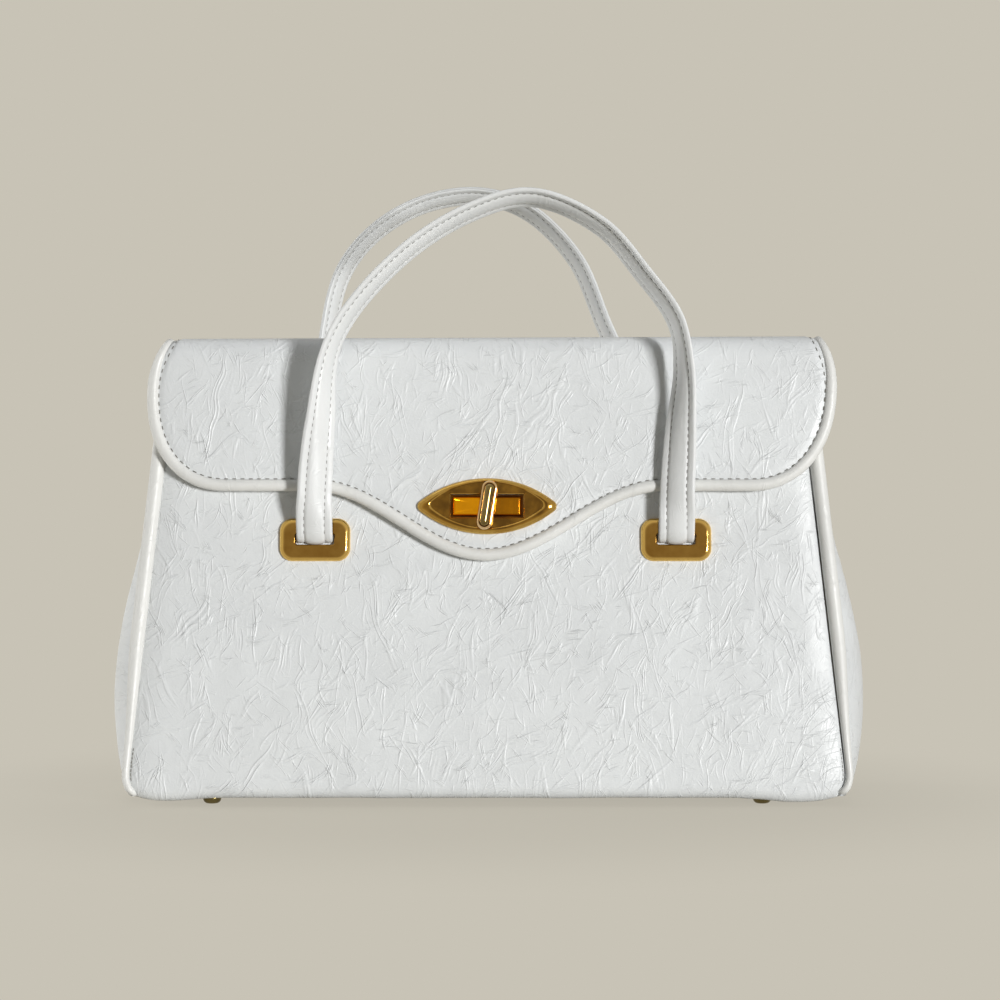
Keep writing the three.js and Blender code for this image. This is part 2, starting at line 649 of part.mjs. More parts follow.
function flapSheet(innerOffset, thickness, inset) {
  const lowestZ = FLAP_TIP_Z - FLAP_BEND_RADIUS;
  const section = new THREE.Shape([
    ...flapLine(innerOffset, lowestZ),
    ...flapLine(innerOffset + thickness, lowestZ).reverse(),
  ]);
  const bent = new THREE.ExtrudeGeometry(section, { depth: FLAP_WIDEST_WIDTH, bevelEnabled: false });
  bent.translate(0, 0, -FLAP_WIDEST_WIDTH / 2);
  bent.applyMatrix4(new THREE.Matrix4().makeBasis(
    new THREE.Vector3(0, 1, 0), new THREE.Vector3(0, 0, 1), new THREE.Vector3(1, 0, 0),
  ));
  const outline = flapOutline(inset);
  const overTop = FLAP_TOP_Z + FLAP_BEND_RADIUS;
  const cutShape = new THREE.Shape([
    new THREE.Vector2(outline[0].x, overTop),
    ...outline,
    new THREE.Vector2(-outline[0].x, overTop),
  ]);
  const cutter = new THREE.ExtrudeGeometry(cutShape, { depth: 2 * BASE_DEPTH, bevelEnabled: false });
  cutter.rotateX(Math.PI / 2);
  cutter.translate(0, BASE_DEPTH, 0);
  return toSolid(bent).intersect(toSolid(cutter));
}

function flapEdgePath() {
  const middle = FLAP_THICKNESS / 2;
  const outline = flapOutline(FLAP_EDGE_RADIUS);
  const widthAt = (z) => {
    const below = outline.findIndex((p) => p.y <= z);
    const above = outline[Math.max(below - 1, 0)];
    const share = (above.y - z) / Math.max(above.y - outline[below].y, FIT_GAP);
    return THREE.MathUtils.lerp(above.x, outline[below].x, share);
  };
  const overMouth = [new THREE.Vector3(widthAt(HINGE_Z), flapBackY, HINGE_Z)];
  const bendStops = 6;
  for (let i = 0; i <= bendStops; i += 1) {
    const p = bendPoint(middle, i / bendStops);
    overMouth.push(new THREE.Vector3(widthAt(p.z), p.y, p.z));
  }
  const mirrored = overMouth.slice().reverse().map((p) => new THREE.Vector3(-p.x, p.y, p.z));
  const lower = outline.filter((p) => p.y < bendZ);
  const round = lower.map((p) => new THREE.Vector3(p.x, dropPoint(middle, p.y).y, p.y));
  return new THREE.CatmullRomCurve3([...overMouth, ...round, ...mirrored], false, 'centripetal');
}

// The lock sits on the flap's outer face, in a group that looks out along the front panel's normal
const lockSlope = slopeAt(FLAP_TIP_Z + LOCK_RISE);
const lockSeatOut = FLAP_STANDOFF + FLAP_THICKNESS;

function leaningGroupAt(slope, out) {
  const group = new THREE.Group();
  const seat = facePoint(slope, out);
  group.position.set(0, seat.y, seat.z);
  group.rotation.x = Math.PI / 2 - TILT;
  group.updateMatrix();
  bag.add(group);
  return group;
}

function buildFlap() {
  const edgeRoom = 2 * FLAP_EDGE_RADIUS + FIT_GAP;
  const lockGroup = leaningGroupAt(lockSlope, lockSeatOut);
  const boreDepth = 2 * FLAP_THICKNESS;
  const bore = new THREE.CylinderGeometry(
    LOCK_POST_RADIUS + FIT_GAP, LOCK_POST_RADIUS + FIT_GAP, boreDepth, ROUND_SIDES,
  );
  bore.rotateX(Math.PI / 2);
  bore.translate(0, 0, -FLAP_THICKNESS / 2);
  bore.applyMatrix4(lockGroup.matrix);
  const boreSolid = toSolid(bore);

  const coverOffset = FLAP_LINING_THICKNESS + FIT_GAP;
  const cover = flapSheet(coverOffset, FLAP_COVER_THICKNESS, edgeRoom).subtract(boreSolid);
  addPiece(bag, 'flap_cover', toGeometry(cover), VINYL);
  const lining = flapSheet(0, FLAP_LINING_THICKNESS, edgeRoom).subtract(boreSolid);
  addPiece(bag, 'flap_lining', toGeometry(lining), LINING);
  const edgeSteps = 80;
  addPiece(bag, 'flap_rolled_edge', tubeAlong(flapEdgePath(), FLAP_EDGE_RADIUS, edgeSteps), TRIM);

  const foldLength = TOP_WIDTH - 2 * GUSSET_THICKNESS;
  const fold = new THREE.CylinderGeometry(HINGE_RADIUS, HINGE_RADIUS, foldLength, ROUND_SIDES);
  fold.rotateZ(Math.PI / 2);
  const foldPiece = addPiece(bag, 'flap_fold', fold, VINYL);
  foldPiece.position.set(0, HINGE_Y, HINGE_Z);

  buildLock(lockGroup);
}

function buildLock(lockGroup) {
  const back = FIT_GAP;
  const crest = back + LOCK_PLATE_THICKNESS;
  const field = crest - LOCK_FIELD_DROP;
  const lengthShare = LOCK_PLATE_LENGTH / LOCK_PLATE_HEIGHT;
  const oval = (inset) => pointedOval(
    LOCK_PLATE_LENGTH - 2 * inset * lengthShare, LOCK_PLATE_HEIGHT - 2 * inset,
  );
  const window = (grow) => roundedRectangle(
    LOCK_WINDOW_LENGTH + 2 * grow, LOCK_WINDOW_HEIGHT + 2 * grow, LOCK_WINDOW_CORNER,
  );
  addPiece(lockGroup, 'lock_plate', ringBand([
    ringAt(oval(0), back),
    ringAt(oval(0), back + LOCK_PLATE_THICKNESS / 2),
    ringAt(oval(LOCK_RIM_WIDTH / 4), crest - LOCK_FIELD_DROP / 2),
    ringAt(oval(LOCK_RIM_WIDTH / 2), crest),
    ringAt(oval(LOCK_RIM_WIDTH), field),
    ringAt(window(FIT_GAP), field),
    ringAt(window(0), field - FIT_GAP),
    ringAt(window(0), back),
  ], true), GOLD);

  const bossFront = back + LOCK_BOSS_THICKNESS;
  const boss = (inset) => roundedRectangle(
    LOCK_WINDOW_LENGTH - 2 * (LOCK_BOSS_MARGIN + inset),
    LOCK_WINDOW_HEIGHT - 2 * (LOCK_BOSS_MARGIN + inset),
    LOCK_WINDOW_CORNER,
  );
  addPiece(lockGroup, 'lock_boss', ringBand([
    ringAt(boss(0), back),
    ringAt(boss(0), bossFront - LOCK_BOSS_BEVEL),
    ringAt(boss(LOCK_BOSS_BEVEL), bossFront),
    ringAt(circleOutline(LOCK_POST_RADIUS + FIT_GAP), bossFront),
    ringAt(circleOutline(LOCK_POST_RADIUS + FIT_GAP), back),
  ], true), GOLD);

  const knobGroup = new THREE.Group();
  knobGroup.rotation.z = -LOCK_KNOB_LEAN;
  lockGroup.add(knobGroup);
  const knobBack = crest + FIT_GAP;
  const knobFront = knobBack + LOCK_KNOB_DEPTH;
  const crestInset = (LOCK_KNOB_WIDTH - LOCK_KNOB_CREST_WIDTH) / 2;
  const rimFront = knobBack + LOCK_KNOB_RIM_DEPTH;
  const rimRound = LOCK_KNOB_RIM_DEPTH / 3;
  const knobRing = (inset, z) => ringAt(roundedRectangle(
    LOCK_KNOB_WIDTH - 2 * inset, LOCK_KNOB_LENGTH - 2 * inset, LOCK_KNOB_WIDTH / 2 - inset,
  ), z);
  const head = ringBand([
    knobRing(crestInset / 2, knobBack),
    knobRing(0, knobBack + rimRound),
    knobRing(0, rimFront - rimRound / 2),
    knobRing(crestInset / 2, rimFront),
    knobRing(crestInset, rimFront),
    knobRing(crestInset + LOCK_KNOB_CREST_TAPER, knobFront),
  ], false);
  const retainerZ = -FLAP_THICKNESS - FIT_GAP - LOCK_RETAINER_THICKNESS;
  const postLength = knobBack + rimRound - retainerZ;
  const post = new THREE.CylinderGeometry(LOCK_POST_RADIUS, LOCK_POST_RADIUS, postLength, ROUND_SIDES);
  post.rotateX(Math.PI / 2);
  post.translate(0, 0, retainerZ + postLength / 2);
  addPiece(knobGroup, 'lock_knob', toGeometry(toSolid(head).add(toSolid(post))), GOLD);
  const retainer = washerRing(LOCK_RETAINER_RADIUS, LOCK_POST_RADIUS + FIT_GAP, LOCK_RETAINER_THICKNESS);
  const retainerPiece = addPiece(knobGroup, 'lock_retainer', retainer, STEEL);
  retainerPiece.position.z = retainerZ;
}

// Keeper under the lock, clenched through the front panel to a backing plate
function buildKeeper(face) {
  const seat = new THREE.Group();
  seat.position.set(0, lockSlope, 0);
  face.add(seat);
  const keeperSlot = roundedRectangle(
    LOCK_KEEPER_SLOT_LENGTH, LOCK_KEEPER_SLOT_HEIGHT, LOCK_KEEPER_SLOT_HEIGHT / 4,
  );
  const keeperOutline = roundedRectangle(LOCK_KEEPER_LENGTH, LOCK_KEEPER_HEIGHT, LOCK_KEEPER_HEIGHT / 4);
  const keeper = shapeOf(keeperOutline);
  holeIn(keeper, keeperSlot);
  const keeperFace = FIT_GAP + LOCK_KEEPER_THICKNESS;
  addPiece(seat, 'lock_keeper', sheet(keeper, LOCK_KEEPER_THICKNESS, keeperFace), GOLD);
  const backing = sheet(shapeOf(keeperOutline), BACKING_THICKNESS, -PANEL_THICKNESS - FIT_GAP);
  addPiece(seat, 'lock_keeper_backing', backing, STEEL);
}

// Strap handles: two layers swept along the arch, turning from flat against the bag to flat in the hand
function strapLayer(arch, section) {
  const ends = PLATE_SPACING / 2;
  const places = [[-ends, 0], ...arch, [ends, 0]];
  const lean = (height) => -STRAP_REACH * (1 - Math.exp(-height / STRAP_REACH_HEIGHT));
  const path = new THREE.CatmullRomCurve3(
    places.map(([x, height]) => new THREE.Vector3(x, lean(height), height)), false, 'centripetal',
  );
  const length = path.getLength();
  const steps = 44;
  const rings = [];
  for (let i = 0; i <= steps; i += 1) {
    const share = i / steps;
    const centre = path.getPointAt(share);
    const along = path.getTangentAt(share);
    const outward = new THREE.Vector3(-along.z, 0, along.x).normalize();
    const front = new THREE.Vector3().crossVectors(along, outward).normalize();
    const fromEnd = Math.min(share, 1 - share) * length;
    const twist = STRAP_TWIST * THREE.MathUtils.smoothstep(fromEnd, STRAP_TWIST_START, STRAP_TWIST_END);
    const width = outward.clone().multiplyScalar(Math.cos(twist)).addScaledVector(front, Math.sin(twist));
    const facing = front.clone().multiplyScalar(Math.cos(twist)).addScaledVector(outward, -Math.sin(twist));
    rings.push(section.map(
      ([a, b]) => centre.clone().addScaledVector(width, a).addScaledVector(facing, b),
    ));
  }
  return ringBand(rings, false);
}

function buildHandle(end, arch, turn) {
  const side = new THREE.Group();
  side.rotation.z = turn;
  bag.add(side);
  const pivot = facePoint(plateSlope, FIT_GAP + PLATE_THICKNESS + FIT_GAP + STRAP_THICKNESS / 2);
  const handle = new THREE.Group();
  handle.position.set(FITTINGS_SHIFT[end], pivot.y, pivot.z);
  side.add(handle);
  const half = STRAP_WIDTH / 2;
  const padHalf = STRAP_PAD_WIDTH / 2;
  const middle = -STRAP_THICKNESS / 2;
  const seam = middle + STRAP_BACKING_THICKNESS;
  const backing = [[-half, seam], [half, seam], [half, middle], [-half, middle]];
  const low = seam + FIT_GAP;
  const face = [
    [-half, low], [half, low], [half, low + STRAP_EDGE_THICKNESS], [padHalf, low + STRAP_FACE_THICKNESS],
    [-padHalf, low + STRAP_FACE_THICKNESS], [-half, low + STRAP_EDGE_THICKNESS],
  ];
  addPiece(handle, `${end}_handle_face`, strapLayer(arch, face), VINYL);
  addPiece(handle, `${end}_handle_backing`, strapLayer(arch, backing), VINYL);
}

const frontFace = leaningFace(0);
const backFace = leaningFace(Math.PI);
for (const [face, end] of [[frontFace, 'front'], [backFace, 'back']]) {
  buildPanel(face, end);
  buildWelts(face, end);
  buildHandlePlates(face, end);
}
buildGussets();
buildBase();
buildKeeper(frontFace);
buildFlap();
buildHandle('front', FRONT_HANDLE_ARCH, 0);
buildHandle('back', BACK_HANDLE_ARCH, Math.PI);

export default bag;
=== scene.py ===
"""Looks of a white top handle bag: crinkled vinyl, rolled edges, strap handles and gold fittings."""
import math
import bmesh
import bpy
import numpy as np
from mathutils import Matrix, Vector, noise
from mathutils.geometry import delaunay_2d_cdt


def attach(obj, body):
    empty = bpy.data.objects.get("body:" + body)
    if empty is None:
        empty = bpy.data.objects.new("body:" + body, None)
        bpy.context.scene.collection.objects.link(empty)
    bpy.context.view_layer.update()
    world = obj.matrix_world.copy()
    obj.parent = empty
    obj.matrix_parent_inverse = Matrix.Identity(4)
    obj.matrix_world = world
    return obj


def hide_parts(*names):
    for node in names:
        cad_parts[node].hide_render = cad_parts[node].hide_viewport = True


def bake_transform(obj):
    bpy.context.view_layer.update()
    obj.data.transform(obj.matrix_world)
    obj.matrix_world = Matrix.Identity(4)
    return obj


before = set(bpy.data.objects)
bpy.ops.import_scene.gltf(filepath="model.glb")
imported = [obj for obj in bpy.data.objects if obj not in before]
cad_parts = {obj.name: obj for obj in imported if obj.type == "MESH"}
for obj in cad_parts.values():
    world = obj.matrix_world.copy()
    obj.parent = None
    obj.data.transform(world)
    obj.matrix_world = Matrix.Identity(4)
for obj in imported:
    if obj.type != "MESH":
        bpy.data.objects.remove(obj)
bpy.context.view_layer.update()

MM = 0.001
SIDES = {"left": -1, "right": 1}

# Body, in millimetres, as the solids have it
BASE_WIDTH = 304
TOP_WIDTH = 266
BASE_DEPTH = 100
BODY_HEIGHT = 188
FOOT_Z = 4
HEAD_Z = FOOT_Z + BODY_HEIGHT
TILT = math.atan2(24, BODY_HEIGHT)
LEAN = math.tan(TILT)

# Flap, as the solids have it
FLAP_UNDER_Z = 194.6
FLAP_TOP_Z = 197.7
FLAP_THICKNESS = 3.1
FLAP_BACK_Y = 22.6
BEND_RADIUS = 6
BEND_Y = -22.81
BEND_Z = FLAP_UNDER_Z - BEND_RADIUS
BEND_SWEEP = math.pi / 2 - TILT

# Fittings, as the solids have them
PLATE_X = 76.7
PLATE_Z = 112
LOCK_PLACE = Vector((0, -39.932, 126.296))
KNOB_LEAN = math.radians(9)

# The front handle and its plates sit a little to the right, as photographed
FITTINGS_SHIFT = {"front": 3.6, "back": 0}


# Mesh making
def add_object(name, data):
    made = bpy.data.objects.new(name, data)
    bpy.context.scene.collection.objects.link(made)
    return made


class Form:
    """Points and faces of one piece, in millimetres."""

    def __init__(self):
        self.points = []
        self.faces = []

    def add(self, points, faces):
        start = len(self.points)
        self.points.extend(points)
        self.faces.extend(tuple(i + start for i in face) for face in faces)

    def loft(self, rings, ringed=False, capped=True):
        """Rings of equally many points joined one to the next; ringed joins the last to the first."""
        sides = len(rings[0])
        faces = []
        for r in range(len(rings) if ringed else len(rings) - 1):
            here = r * sides
            after = (r + 1) % len(rings) * sides
            for i in range(sides):
                j = (i + 1) % sides
                faces.append((here + i, here + j, after + j, after + i))
        if capped and not ringed:
            faces.append(tuple(reversed(range(sides))))
            faces.append(tuple(range((len(rings) - 1) * sides, len(rings) * sides)))
        self.add([p for ring in rings for p in ring], faces)

    def shell(self, rows, thickness):
        """A closed sheet: the given rows of points outside, and the same rows set in by the thickness."""
        count = len(rows[0])
        inner = []
        for r, row in enumerate(rows):
            line = []
            for c, point in enumerate(row):
                along = rows[min(r + 1, len(rows) - 1)][c] - rows[max(r - 1, 0)][c]
                across = row[min(c + 1, count - 1)] - row[max(c - 1, 0)]
                line.append(point - along.cross(across).normalized() * thickness)
            inner.append(line)
        layer = count * len(rows)
        faces = []
        for r in range(len(rows) - 1):
            for c in range(count - 1):
                a = r * count + c
                faces.append((a, a + count, a + count + 1, a + 1))
                faces.append((layer + a, layer + a + 1, layer + a + count + 1, layer + a + count))
        rim = [*range(count)]
        rim += [r * count + count - 1 for r in range(1, len(rows))]
        rim += [(len(rows) - 1) * count + c for c in range(count - 2, -1, -1)]
        rim += [r * count for r in range(len(rows) - 2, 0, -1)]
        for a, b in zip(rim, rim[1:] + rim[:1]):
            faces.append((a, b, layer + b, layer + a))
        self.add([p for row in rows + inner for p in row], faces)

    def piece(self, name, material, slot, sharp=None):
        mesh = bpy.data.meshes.new(name)
        mesh.from_pydata([p * MM for p in self.points], [], self.faces)
        work = bmesh.new()
        work.from_mesh(mesh)
        bmesh.ops.recalc_face_normals(work, faces=work.faces)
        work.to_mesh(mesh)
        work.free()
        mesh.shade_smooth()
        if sharp:
            mesh.set_sharp_from_angle(angle=math.radians(sharp))
        mesh.materials.append(material)
        made = add_object(name, mesh)
        return made


def lofted(rings, **ends):
    form = Form()
    form.loft(rings, **ends)
    return form


def lerp(a, b, share):
    return a + (b - a) * share


def smoothstep(low, high, value):
    share = min(max((value - low) / (high - low), 0), 1)
    return share * share * (3 - 2 * share)


def bell(offset, reach):
    return math.exp(-(offset / reach) ** 2)


def smooth_path(points, per_span=16):
    """A smooth curve through the points, as many short steps."""
    run = [points[0] * 2 - points[1], *points, points[-1] * 2 - points[-2]]
    path = []
    for before, start, end, after in zip(run, run[1:], run[2:], run[3:]):
        near = max((start - before).length, 1e-4) ** 0.5
        mid = max((end - start).length, 1e-4) ** 0.5
        far = max((after - end).length, 1e-4) ** 0.5
        leave = ((start - before) / near - (end - before) / (near + mid) + (end - start) / mid) * mid
        reach = ((end - start) / mid - (after - start) / (mid + far) + (after - end) / far) * mid
        for i in range(per_span):
            t = i / per_span
            path.append(start * (2 * t**3 - 3 * t**2 + 1) + leave * (t**3 - 2 * t**2 + t)
                        + end * (3 * t**2 - 2 * t**3) + reach * (t**3 - t**2))
    path.append(points[-1])
    return path


def running_lengths(path):
    lengths = [0]
    for a, b in zip(path, path[1:]):
        lengths.append(lengths[-1] + (b - a).length)
    return lengths


def evenly(path, step):
    """The same path in equal steps of about the given length."""
    lengths = running_lengths(path)
    count = max(round(lengths[-1] / step), 1)
    placed = []
    at = 0
    for i in range(count + 1):
        goal = lengths[-1] * i / count
        while at < len(path) - 2 and lengths[at + 1] < goal:
            at += 1
        span = max(lengths[at + 1] - lengths[at], 1e-9)
        placed.append(path[at].lerp(path[at + 1], (goal - lengths[at]) / span))
    return placed


def directions(path):
    return [(path[min(i + 1, len(path) - 1)] - path[max(i - 1, 0)]).normalized() for i in range(len(path))]


def turn_angles(count, start=0):
    return [2 * math.pi * (k + start) / count for k in range(count)]


def tube(path, sizes, ups, sides=16):
    """A round roll along a path, with its radius and upward direction at each point."""
    rings = []
    for point, forward, size, up in zip(path, directions(path), sizes, ups):
        side = forward.cross(up).normalized()
        top = side.cross(forward)
        rings.append([point + (side * math.cos(a) + top * math.sin(a)) * size for a in turn_angles(sides)])
    return lofted(rings)


# Stitches: pitch, length, width and height
SEAM_STITCHES = (2.4, 1.5, 0.34, 0.2)
FLAP_STITCHES = (3.1, 1.9, 0.36, 0.18)
STRAP_STITCHES = (3.0, 1.6, 0.32, 0.16)


def stitch_row(form, path, normals, pitch, length, width, height):
    """Short raised threads along a path, each dipping in at both ends."""
    shares = [-0.5, -0.36, 0, 0.36, 0.5]
    swells = [0.35, 0.9, 1, 0.9, 0.35]
    sunk = 0.6
    sides = 6
    gap = (path[1] - path[0]).length
    every = max(round(pitch / gap), 1)
    along = directions(path)
    for i in range(every, len(path) - every, every):
        forward = along[i]
        up = normals[i]
        side = forward.cross(up).normalized()
        rings = []
        for share, swell in zip(shares, swells):
            middle = path[i] + forward * length * share + up * height * (swell - sunk)
            radius = width / 2 * swell
            rings.append([middle + side * radius * math.cos(a) + up * radius * math.sin(a)
                          for a in turn_angles(sides)])
        form.loft(rings)


# Materials
def add_node(tree, kind, inputs=None, **settings):
    node = tree.nodes.new(kind)
    for name, value in settings.items():
        setattr(node, name, value)
    for name, value in (inputs or {}).items():
        if isinstance(value, bpy.types.NodeSocket):
            tree.links.new(value, node.inputs[name])
        else:
            node.inputs[name].default_value = value
    return node


def calculate(tree, operation, *values):
    return add_node(tree, "ShaderNodeMath", dict(enumerate(values)), operation=operation).outputs[0]


def remap(tree, value, low, high, to_low=0.0, to_high=1.0):
    inputs = {"Value": value, "From Min": low, "From Max": high, "To Min": to_low, "To Max": to_high}
    return add_node(tree, "ShaderNodeMapRange", inputs, interpolation_type="SMOOTHSTEP").outputs["Result"]


def noise_at(tree, places, size, detail=3.0, roughness=0.5, output="Fac"):
    inputs = {"Vector": places, "Scale": 1 / size, "Detail": detail, "Roughness": roughness}
    return add_node(tree, "ShaderNodeTexNoise", inputs).outputs[output]


def ramp(tree, value, *stops):
    node = add_node(tree, "ShaderNodeValToRGB", {"Fac": value})
    elements = node.color_ramp.elements
    while len(elements) < len(stops):
        elements.new(0.5)
    for element, (place, colour) in zip(elements, stops):
        element.position = place
        element.color = (*colour, 1)
    return node.outputs["Color"]


def new_material(name, **values):
    """A material with constant values in its shader. Returns it, its nodes, its shader and its places."""
    material = bpy.data.materials.new(name)
    material.use_nodes = True
    tree = material.node_tree
    shader = tree.nodes["Principled BSDF"]
    for key, value in values.items():
        shader.inputs[key.replace("_", " ")].default_value = value
    places = add_node(tree, "ShaderNodeTexCoord").outputs["Object"]
    return material, tree, shader, places


def join_shader(tree, shader, colour, roughness, height, distance, strength=1.0):
    """Join a colour, a roughness and the height of a relief to the shader."""
    bump = add_node(tree, "ShaderNodeBump", {"Height": height, "Distance": distance, "Strength": strength})
    for name, value in (("Base Color", colour), ("Roughness", roughness), ("Normal", bump.outputs["Normal"])):
        tree.links.new(value, shader.inputs[name])


def leaning_places(tree, places, lean, cell, shift=0.0):
    """Places turned to lean and measured in cells of the given size."""
    inputs = {"Vector": places, "Location": (shift, 0.0, 0.0), "Rotation": lean, "Scale": cell}
    return add_node(tree, "ShaderNodeMapping", inputs, vector_type="TEXTURE").outputs["Vector"]


def crease_bundles(tree, places, turn, width, length, shift):
    """Spindle-shaped folds that lean by an angle, each of a few fine creases side by side."""
    wide = leaning_places(tree, places, (0.2, turn, 0.3), (width, length, length), shift)
    bundle = remap(tree, noise_at(tree, wide, 1.0, 1.5, 0.5), 0.57, 0.75)
    cell = (width * 0.35, length * 1.1, length * 1.1)
    fine = leaning_places(tree, places, (0.2, turn + 0.06, 0.3), cell, shift)
    level = noise_at(tree, fine, 1.0, 0.5, 0.4)
    off_middle = calculate(tree, "ABSOLUTE", calculate(tree, "SUBTRACT", level, 0.5))
    line = remap(tree, off_middle, 0.0, 0.13, 1.0, 0.0)
    return calculate(tree, "MULTIPLY", bundle, line)


def swayed(tree, places, size, reach):
    """Places that wander a little, so that straight creases bend."""
    drift = noise_at(tree, places, size, 1.0, output="Color")
    inputs = {0: drift, 1: (0.5, 0.5, 0.5)}
    centred = add_node(tree, "ShaderNodeVectorMath", inputs, operation="SUBTRACT").outputs["Vector"]
    inputs = {0: centred, 1: (reach, reach, reach), 2: places}
    return add_node(tree, "ShaderNodeVectorMath", inputs, operation="MULTIPLY_ADD").outputs["Vector"]


# Layers of creases in the vinyl: lean, width and length of a bundle in metres, and shift of the pattern
CREASES = [
    (0.66, 0.0052, 0.034, 0.0),
    (0.10, 0.0048, 0.032, 0.05),
    (1.18, 0.0050, 0.030, 0.10),
    (-0.36, 0.0050, 0.030, 0.15),
    (0.36, 0.0040, 0.024, 0.20),
    (0.90, 0.0030, 0.016, 0.25),
    (-0.10, 0.0030, 0.015, 0.30),
    (0.50, 0.0024, 0.0095, 0.35),
    (-0.65, 0.0024, 0.0095, 0.40),
    (1.45, 0.0024, 0.0095, 0.45),
]
LATER_CREASES = 0.8
SWAY_SIZE = 0.022
SWAY_REACH = 0.011
HILLS = 1.8
HILL_SIZE = 0.012
GRAIN = 0.3
GRAIN_SIZE = 0.0009
BLOTCH_SIZE = 0.045
VINYL_RELIEF = 0.00021


def vinyl_material(name, pale, dull, crease, roughness):
    """Vinyl with creases, soft hills and a fine grain. Crease is 1 for the crinkled sheet, less for trim."""
    material, tree, shader, places = new_material(name, Specular_IOR_Level=0.45, Sheen_Weight=0.04)
    blotches = noise_at(tree, places, BLOTCH_SIZE, 4.0, 0.6)
    hills = noise_at(tree, places, HILL_SIZE)
    grain = noise_at(tree, places, GRAIN_SIZE, 2.0)
    gloss = remap(tree, hills, 0.3, 0.7, roughness - 0.07, roughness + 0.09)
    bent = swayed(tree, places, SWAY_SIZE, SWAY_REACH)
    lines = crease_bundles(tree, bent, *CREASES[0])
    for layer in CREASES[1:]:
        lines = calculate(tree, "MULTIPLY_ADD", crease_bundles(tree, bent, *layer), LATER_CREASES, lines)
    lines = calculate(tree, "MULTIPLY", lines, crease)
    height = calculate(tree, "MULTIPLY_ADD", hills, HILLS * crease, lines)
    height = calculate(tree, "MULTIPLY_ADD", grain, GRAIN * crease * crease, height)
    join_shader(tree, shader, ramp(tree, blotches, (0.3, dull), (0.7, pale)), gloss, height, VINYL_RELIEF)
    return material


def lock_height(tree, places):
    """Height of a place over the flap's face at the lock."""
    normal = Vector((0, -math.cos(TILT), math.sin(TILT)))
    inputs = {0: places, 1: normal}
    out = add_node(tree, "ShaderNodeVectorMath", inputs, operation="DOT_PRODUCT").outputs["Value"]
    return calculate(tree, "SUBTRACT", out, normal.dot(LOCK_PLACE) * MM)


def painted_front_reflection(tree, _):
    """How squarely a surface faces front or back, wherever it lies: the mask of a painted dark reflection on
    metal.
    """
    normal = add_node(tree, "ShaderNodeTexCoord").outputs["Normal"]
    facing = add_node(tree, "ShaderNodeSeparateXYZ", {"Vector": normal}).outputs["Y"]
    return remap(tree, calculate(tree, "ABSOLUTE", facing), 0.90, 0.995)


def metal_material(name, colours, roughness, scratch=0.05, shade=None, stain=0.14):
    """Metal that goes through its colours, bright to deep, by a painted reflection and shade from 0 to 1,
    where one is given, and by stains.
    """
    material, tree, shader, places = new_material(name, Metallic=1.0)
    stains = remap(tree, noise_at(tree, places, 0.008, 3.0, 0.6), 0.3, 0.7)
    if shade:
        level = calculate(tree, "MULTIPLY", shade(tree, places), 1 - stain)
        level = calculate(tree, "MULTIPLY_ADD", stains, stain, level)
    else:
        level = stains
    stops = [(i / (len(colours) - 1), colour) for i, colour in enumerate(colours)]
    smears = noise_at(tree, places, 0.003, 4.0, 0.65)
    gloss = remap(tree, smears, 0.3, 0.8, roughness, roughness + 0.12)
    drawn = leaning_places(tree, places, (0.0, 0.4, 0.0), (0.0002, 0.0002, 0.006))
    scratches = noise_at(tree, drawn, 1.0, 2.0)
    join_shader(tree, shader, ramp(tree, level, *stops), gloss, scratches, 0.00002, scratch)
    return material


def woven_material(name, light, dark, pitch):
    """Plain weave with the given distance from thread to thread."""
    material, tree, shader, places = new_material(name, Specular_IOR_Level=0.25, Sheen_Weight=0.2)
    threads = []
    for axis in ("X", "Z"):
        inputs = {"Vector": places, "Scale": 1 / (math.pi * pitch), "Distortion": 0.6, "Detail": 1.0}
        threads.append(add_node(tree, "ShaderNodeTexWave", inputs, bands_direction=axis).outputs["Fac"])
    weave = calculate(tree, "MULTIPLY", *threads)
    slubs = noise_at(tree, places, 0.004, 3.0)
    tone = calculate(tree, "MULTIPLY", calculate(tree, "ADD", weave, slubs), 0.5)
    gloss = remap(tree, slubs, 0.3, 0.7, 0.7, 0.9)
    join_shader(tree, shader, ramp(tree, tone, (0.2, dark), (0.7, light)), gloss, weave, 0.00025, 0.8)
    return material


def board_material(name):
    material, tree, shader, places = new_material(name, Specular_IOR_Level=0.2)
    fibres = noise_at(tree, places, 0.002, 5.0, 0.7)
    colours = ramp(tree, fibres, (0.3, (0.22, 0.15, 0.08)), (0.7, (0.38, 0.28, 0.17)))
    join_shader(tree, shader, colours, remap(tree, fibres, 0.3, 0.7, 0.75, 0.95), fibres, 0.0003, 0.5)
    return material


def thread_material(name, light, dark):
    material, tree, shader, places = new_material(name, Specular_IOR_Level=0.3, Sheen_Weight=0.2)
    inputs = {"Vector": places, "Scale": 900.0}
    twist = add_node(tree, "ShaderNodeTexWave", inputs, bands_direction="DIAGONAL").outputs["Fac"]
    soil = noise_at(tree, places, 0.02, 2.0)
    colours = ramp(tree, calculate(tree, "MULTIPLY", twist, soil), (0.1, dark), (0.5, light))
    join_shader(tree, shader, colours, remap(tree, soil, 0.3, 0.7, 0.6, 0.8), twist, 0.0001, 0.6)
    return material


VINYL = vinyl_material("crinkled vinyl", (0.755, 0.775, 0.780), (0.700, 0.718, 0.724), 1.0, 0.40)
VINYL_STRAP = vinyl_material("strap vinyl", (0.77, 0.78, 0.775), (0.71, 0.72, 0.715), 0.3, 0.38)
TRIM = vinyl_material("smooth vinyl", (0.775, 0.775, 0.750), (0.715, 0.715, 0.690), 0.35, 0.40)
LINING = woven_material("woven lining", (0.66, 0.61, 0.52), (0.48, 0.43, 0.35), 0.0008)
BOARD = board_material("fibre board")
BRIGHT_GOLD = (0.82, 0.54, 0.16)
# Deep gold of the painted dark reflection on faces that look front or back
DARK_REFLECTION_GOLD = (0.30, 0.155, 0.030)
# Dark brown of the painted shade in the groove round the lock's boss
PAINTED_GROOVE_SHADE = (0.060, 0.022, 0.010)


